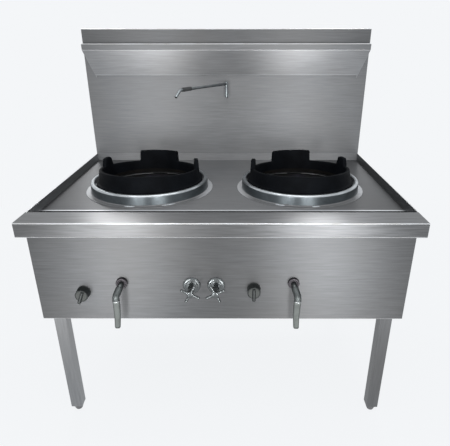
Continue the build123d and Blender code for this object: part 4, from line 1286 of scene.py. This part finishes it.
def knob(side):
    shape = bmesh.new()
    skirt_top = knob_gap + skirt_depth
    face_height = knob_gap + knob_depth
    corners = [(0, knob_gap), (skirt_radius, knob_gap), (skirt_radius, skirt_top),
               (knob_radius + 0.0003, skirt_top), (knob_radius - knob_draft, face_height),
               (knob_radius - face_rim, face_height),
               (knob_radius - face_rim - face_dish, face_height - face_dish),
               (0, face_height - face_dish)]
    lathe(shape, corners, [0, 0.0008, 0.0012, 0.0004, 0.0022, 0.0005, 0.0005, 0], 72,
          arc_steps=5)
    for face in shape.faces:
        centre = face.calc_center_median()
        if centre.z > face_height - 2 * face_dish and centre.xy.length < knob_radius - face_rim:
            face.material_index = 2
    front = face_height + bar_rise
    tail = knob_radius - knob_draft - 0.001
    rows = []
    levels = 10
    for level in range(levels + 1):
        share = level / levels
        height = skirt_top + (front - skirt_top) * share
        shrink = bar_draft * share
        rounding = 0.0022
        into = (height - (front - rounding)) / rounding
        if into > 0:
            shrink += rounding * (1 - sqrt(max(0.0, 1 - into * into)))
        half = bar_width / 2 - shrink
        low_end = -bar_reach + bar_width / 2
        high_end = tail - shrink - 0.003 * share
        row = [Vector((half * cos(turn), low_end + half * sin(turn), height))
               for turn in (pi + pi * step / 14 for step in range(15))]
        row += [Vector((half, high_end, height)), Vector((-half, high_end, height))]
        rows.append(row)
    skin(shape, rows, close_points=True, caps=True)
    plastic_faces = len(shape.faces)
    half = paint_width / 2
    line = [[Vector((x, y, front - paint_rise + height)) for x, y in
             ((-half, paint_start), (half, paint_start), (half, paint_end), (-half, paint_end))]
            for height in (0.0, 2 * paint_rise)]
    skin(shape, line, close_points=True, caps=True)
    shape.faces.ensure_lookup_table()
    for face in shape.faces[plastic_faces:]:
        face.material_index = 1
    set_piece(f"{side}_knob_moulding", shape, on_joint(f"{side}_pilot_turn", knob_turns[side]),
              [knob_plastic, pointer_paint, knob_face_plastic], "knob_plastic",
              f"{side}_pilot_button", f"{side}_pilot_knob")


for side in sides:
    knob(side)

# %% [markdown]
# ## Water taps
#
# Two chromed taps feed the swinging spout and the rinsing bar behind the shelf. Each has a
# domed cover plate against the panel, a bonnet that the spindle runs in, and a cross handle
# with four round spokes that swell to a ball at the tip. The bonnet is the front part of the
# tap's brass body, so only the faces in front of the panel take the chrome.

# %% Domed cover plates
plate_radius = 0.028
plate_depth = 0.008
plate_bore = 0.0113
plate_edge = 0.0025


def cover_plates():
    shape = bmesh.new()
    corners = [(plate_bore, 0), (plate_radius, 0), (plate_radius, plate_edge),
               (0.0235, 0.0050), (0.0205, 0.0055), (0.0165, plate_depth),
               (plate_bore, plate_depth)]
    for side in sides:
        lathe(shape, corners, [0, 0.0004, 0.0015, 0.003, 0.003, 0.002, 0.0008], 72, arc_steps=5,
              place=on_joint(f"{side}_tap_turn"))
    set_piece("tap_cover_plates", shape, Matrix(), [chrome], "chrome_fittings", "bench",
              "tap_escutcheons")


cover_plates()
for side in sides:
    body = nodes[f"{side}_tap_body"].data
    body.materials[0] = brass
    body.materials.append(chrome)
    for face in body.polygons:
        if face.center.y < panel_face:
            face.material_index = 1

# %% Cross handles
hub_back = 0.0393
hub_front = 0.062
hub_radius = 0.010
spindle_radius = 0.005
spindle_length = 0.0225
cap_front = 0.065
cap_radius = 0.007
spoke_setback = 0.007
spoke_reach = 0.0325
spoke_root_radius = 0.0047
spoke_waist_radius = 0.0039
spoke_ball_radius = 0.0047
tap_turns = {"left": -27.5, "right": 27.0}


def cross_handle(side):
    shape = bmesh.new()
    corners = [(0, hub_back), (hub_radius * 0.9, hub_back), (hub_radius, hub_back + 0.003),
               (hub_radius, hub_front), (cap_radius, hub_front + 0.0006),
               (cap_radius, cap_front), (0, cap_front)]
    lathe(shape, corners, [0, 0.001, 0.001, 0.0025, 0.0006, 0.0022, 0], 48, arc_steps=5)
    tip = hub_back - spindle_length
    spindle = [(0, tip), (spindle_radius, tip), (spindle_radius, hub_back)]
    lathe(shape, spindle, [0, 0.0005, 0], 32)
    ball = spoke_reach - spoke_ball_radius
    spoke = rounded([(spoke_root_radius, 0.006), (spoke_root_radius, 0.0105),
                     (spoke_waist_radius, 0.0145), (spoke_waist_radius * 1.12, 0.020)],
                    0.004, steps=4)
    spoke += ball_end(spoke_ball_radius, ball, -38)
    height = hub_front - spoke_setback
    for quarter in range(4):
        turn = Matrix.Rotation(radians(90 * quarter), 4, 'Z')
        outward = Matrix.Rotation(radians(90), 4, 'Y')
        place = Matrix.Translation((0, 0, height)) @ turn @ outward
        turned(shape, spoke, steps=24, place=place)
    set_piece(f"{side}_cross_handle", shape, on_joint(f"{side}_tap_turn", tap_turns[side]),
              [chrome], "chrome_fittings", f"{side}_tap", f"{side}_tap_handle")


for side in sides:
    cross_handle(side)

# %% [markdown]
# ## The swinging spout
#
# A short post comes out of the wall under the shelf, and a long thin arm swings on it over
# either wok. Near its end the arm has a black ribbed sleeve, because the cook moves it with
# the hand while it is hot, and then it bends down to an open tip. The arm is a tube carried
# along a path, and the sleeve's ribs are real steps in its outline.

# %% Post, arm and sleeve
swivel = joint_origin("spout_swing")
arm_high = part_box("spout_arm")[1]
wall_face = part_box("splashback_face")[0].y
post_radius = 0.0065
wall_plate_radius = 0.010
arm_radius = 0.0055
arm_bore = arm_radius * 0.76
bore_depth = 0.012
tube_sides = 28
pin_radius = 0.0034
pin_length = 0.018
arm_reach = 0.299
tip_reach = 0.026
tip_drop = 0.024
tip_bend = 0.024
arm_below_top = 0.009
sleeve_start = 0.237
sleeve_length = 0.050
sleeve_radius = 0.0075
sleeve_ribs = 9
sleeve_groove = 0.0009
spout_swing_angle = -34.0


def spout_post():
    low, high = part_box("spout_elbow")
    shape = bmesh.new()
    post_y = swivel.y
    axis_z = low.z + post_radius
    height = high.z
    corners = [(0, low.z), (post_radius, low.z), (post_radius, height - 0.004),
               (post_radius * 0.9, height - 0.004), (post_radius * 0.9, height - 0.0025),
               (post_radius, height - 0.0025), (post_radius, height), (0, height)]
    lathe(shape, corners, [0, 0.004, 0.0004, 0.0002, 0.0002, 0.0004, 0.0006, 0], 40,
          place=Matrix.Translation((swivel.x, post_y, 0)))
    back = high.y - post_y
    plate = wall_face - post_y
    stub = [(post_radius, 0), (post_radius, plate - 0.003),
            (wall_plate_radius, plate - 0.0022), (wall_plate_radius, plate),
            (post_radius, plate), (post_radius, back), (0, back)]
    place = Matrix.Translation((swivel.x, post_y, axis_z)) @ Matrix.Rotation(radians(-90), 4, 'X')
    lathe(shape, stub, [0, 0.0008, 0.0012, 0.0004, 0, 0.0004, 0], 40, place=place)
    set_piece("spout_post", shape, Matrix(), [spout_chrome], "chrome_fittings", "bench",
              "spout_elbow")


def spout_tube():
    shape = bmesh.new()
    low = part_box("spout_elbow")[1].z + 0.0003
    top = arm_high.z
    arm_z = top - arm_below_top
    pin_end = low - pin_length
    corners = [(0, pin_end), (pin_radius, pin_end), (pin_radius, low),
               (post_radius, low), (post_radius, top - 0.0022), (post_radius * 0.55, top),
               (0, top)]
    lathe(shape, corners, [0, 0.0005, 0, 0.0005, 0.001, 0.001, 0], 40)
    path = rounded([(0, -post_radius * 0.5, arm_z), (0, -arm_reach, arm_z),
                    (0, -arm_reach - tip_reach, arm_z - tip_drop)], tip_bend, steps=14)
    swept(shape, path, lambda share: circle(arm_radius, tube_sides), caps=False)
    lip = path[-1]
    inward = (path[-2] - path[-1]).normalized()
    bore = [lip, lip + inward * bore_depth]
    swept(shape, bore, lambda share: circle(arm_bore, tube_sides), caps=False)
    ahead = -inward
    across = Vector((1, 0, 0))
    up = ahead.cross(across)
    rim_rows = [[lip + across * a + up * b for a, b in circle(radius, tube_sides)]
                for radius in (arm_radius, arm_bore)]
    skin(shape, rim_rows, close_points=True)
    place = Matrix.Translation((swivel.x, swivel.y, 0)) @ Matrix.Rotation(
        radians(spout_swing_angle), 4, 'Z')
    set_piece("spout_tube", shape, place, [spout_chrome], "chrome_fittings", "spout", "spout_arm")


def spout_sleeve():
    shape = bmesh.new()
    pitch = sleeve_length / sleeve_ribs
    corners = [(arm_radius, 0), (sleeve_radius, 0)]
    for rib in range(sleeve_ribs - 1):
        edge = pitch * (rib + 1)
        corners += [(sleeve_radius, edge - pitch * 0.25),
                    (sleeve_radius - sleeve_groove, edge - pitch * 0.12),
                    (sleeve_radius - sleeve_groove, edge + pitch * 0.12),
                    (sleeve_radius, edge + pitch * 0.25)]
    corners += [(sleeve_radius, sleeve_length), (arm_radius, sleeve_length)]
    arm_z = arm_high.z - arm_below_top
    place = (Matrix.Translation((swivel.x, swivel.y, arm_z))
             @ Matrix.Rotation(radians(spout_swing_angle), 4, 'Z')
             @ Matrix.Translation((0, -sleeve_start, 0)) @ Matrix.Rotation(radians(90), 4, 'X'))
    lathe(shape, corners, 0.0004, 40, arc_steps=2)
    set_piece("spout_sleeve", shape, place, [grip_rubber], "grip_rubber", "spout", "spout_grip")


spout_post()
spout_tube()
spout_sleeve()

# %% [markdown]
# ## Feet
#
# Each leg ends in an adjustable foot: a moulded cone on a steel stem that screws into the
# leg's end plate, so the range can be levelled. The foot tapers to a small pad with a
# rounded edge, and has a ring of shallow flutes to hold it by. The stem hides in the leg, so
# it shares the cone's dark finish.

# %% Feet
foot_height = 0.023
pad_radius = 0.011
foot_stem = 0.005
flute_from = 0.0125
foot_flutes = 18
foot_flute_depth = 0.0007


def foot(side, row):
    low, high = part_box(f"{row}_{side}_foot")
    top_radius = (high.x - low.x) / 2
    height = foot_height
    corners = [(0, 0), (pad_radius, 0), (top_radius, height - 0.005), (top_radius, height),
               (0.008, height), (0, height)]
    outline = rounded(corners, [0, 0.003, 0.003, 0.0012, 0, 0], steps=5)
    steps = foot_flutes * 6
    rows = []
    for step in range(steps):
        turn = 2 * pi * step / steps
        flute = foot_flute_depth * (0.5 - 0.5 * cos(foot_flutes * turn))
        row_points = []
        for point in outline:
            held = min(1.0, max(0.0, (point.x - flute_from) / 0.004))
            row_points.append(Matrix.Rotation(turn, 3, 'Z')
                              @ Vector((point.x - flute * held, 0, point.z)))
        rows.append(row_points)
    shape = bmesh.new()
    skin(shape, rows, close_rows=True)
    stem_top = high.z - low.z
    stem = [(foot_stem, height), (foot_stem, stem_top), (0, stem_top)]
    lathe(shape, stem, [0, 0.0008, 0], 32)
    set_piece(f"{row}_{side}_foot_moulding", shape, foot_of(f"{row}_{side}_foot"),
              [foot_plastic], "foot_plastic", f"{row}_{side}_levelling", f"{row}_{side}_foot")


for side in sides:
    for row in ("front", "rear"):
        foot(side, row)

# %% [markdown]
# ## Gutter strainer
#
# A perforated basket sits in the gutter's drain and catches scraps. It lifts out by a small
# ball on a post. The holes are real: each is left open in the net of the basket's floor and
# wall, so light falls through them.

# %% Strainer basket
basket_radius = 0.026
basket_rim = 0.037
basket_depth = 0.024
basket_metal = 0.0012
basket_columns = 72
basket_wall_rows = 16
basket_floor_rings = 15
rim_turn = 0.003


def hole_in_wall(row, column):
    return row % 4 in (1, 2) and column % 6 in (2, 3) and row < basket_wall_rows - 3


def hole_in_floor(ring, column):
    spacing = 18 if ring < 5 else 9
    return ring % 4 in (2, 3) and column % spacing in (3, 4, 5) and ring < basket_floor_rings - 2


def pierced(shape, rings, is_hole):
    """A net through rings of (radius, height), left open wherever is_hole says so."""
    grid = [[shape.verts.new((x, y, height)) for x, y in circle(radius, basket_columns)]
            for radius, height in rings]
    for row in range(len(grid) - 1):
        for i in range(basket_columns):
            if not is_hole(row, i):
                after = (i + 1) % basket_columns
                shape.faces.new((grid[row][i], grid[row][after],
                                 grid[row + 1][after], grid[row + 1][i]))
    return grid


def strainer():
    low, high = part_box("gutter_strainer")
    shape = bmesh.new()
    rim_z = basket_depth
    rim = [(basket_radius - basket_metal, rim_z - rim_turn),
           (basket_radius - basket_metal, rim_z), (basket_rim, rim_z),
           (basket_rim, rim_z - basket_metal), (basket_radius, rim_z - basket_metal),
           (basket_radius, rim_z - rim_turn)]
    lathe(shape, rim, [0, 0.0012, 0.0005, 0.0005, 0.0008, 0], basket_columns)
    wall_rise = rim_z - rim_turn
    for radius in (basket_radius, basket_radius - basket_metal):
        levels = range(basket_wall_rows + 1)
        rings = [(radius, wall_rise * level / basket_wall_rows) for level in levels]
        pierced(shape, rings, hole_in_wall)
    for height, reach in ((0.0, basket_radius), (basket_metal, basket_radius - basket_metal)):
        rings = [(reach * ring / basket_floor_rings, height)
                 for ring in range(1, basket_floor_rings + 1)]
        shape.faces.new(pierced(shape, rings, hole_in_floor)[0])
    post_top = high.z - low.z
    ball = 0.005
    stalk_radius = 0.003
    stalk = [(stalk_radius, basket_metal), (stalk_radius, post_top - 2 * ball + 0.0008)]
    post = rounded(stalk, 0)
    post += ball_end(ball, post_top - ball, -52)
    turned(shape, post, steps=28)
    set_piece("strainer_basket", shape, foot_of("gutter_strainer"), [frame_tube],
              "stainless_sheet", "strainer", "gutter_strainer")


strainer()

# %% [markdown]
# ## Screws in the rear panel
#
# The rear panel comes off for service. Eight pan-head screws hold it to the frame's tubes.
# Each head is a low dome. Its cross recess is made by lowering the points of the net in it.

# %% Rear screws
head_radius = 0.0045
head_height = 0.0025
recess_depth = 0.0012
recess_radius = 0.0026
recess_half_width = 0.0006
shank_radius = 0.0024


def screw_centres():
    """Finds the screws in the node's mesh, each a loose island of faces, from left to right."""
    shape = bmesh.new()
    shape.from_mesh(nodes["panel_screws"].data)
    bmesh.ops.remove_doubles(shape, verts=shape.verts, dist=weld_distance)
    left = set(shape.verts)
    centres = []
    while left:
        island, queue = [], [left.pop()]
        while queue:
            vertex = queue.pop()
            island.append(vertex.co.copy())
            for link in vertex.link_edges:
                other = link.other_vert(vertex)
                if other in left:
                    left.remove(other)
                    queue.append(other)
        centres.append(Vector(((min(p.x for p in island) + max(p.x for p in island)) / 2, 0,
                               (min(p.z for p in island) + max(p.z for p in island)) / 2)))
    shape.free()
    # A set gives its islands in another order each run, so their centres are sorted.
    return sorted(centres, key=lambda centre: (round(centre.x, 4), centre.z))


def rear_screws():
    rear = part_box("rear_panel")[1].y
    low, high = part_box("panel_screws")
    shape = bmesh.new()
    radial_steps = 14
    around = 48
    for index, centre in enumerate(screw_centres()):
        place = (Matrix.Translation((centre.x, rear, centre.z))
                 @ Matrix.Rotation(radians(-90), 4, 'X') @ Matrix.Rotation(0.7 * index, 4, 'Z'))
        rows = []
        for ring in range(radial_steps + 1):
            share = ring / radial_steps
            radius = head_radius * share
            dome = head_height * (1 - 0.45 * share * share)
            row = []
            for x, y in circle(radius, around):
                in_cross = radius < recess_radius and min(abs(x), abs(y)) < recess_half_width
                row.append(place @ Vector((x, y, dome - (recess_depth if in_cross else 0))))
            rows.append(row)
        rows.append([place @ Vector((x, y, 0)) for x, y in circle(head_radius, around)])
        skin(shape, rows, close_points=True)
        tip = low.y - rear
        lathe(shape, [(shank_radius, 0), (shank_radius, tip), (0, tip)], 0, 20, place=place)
    set_piece("rear_screws", shape, Matrix(), [frame_tube], "frame_steel", "bench",
              "panel_screws")


rear_screws()
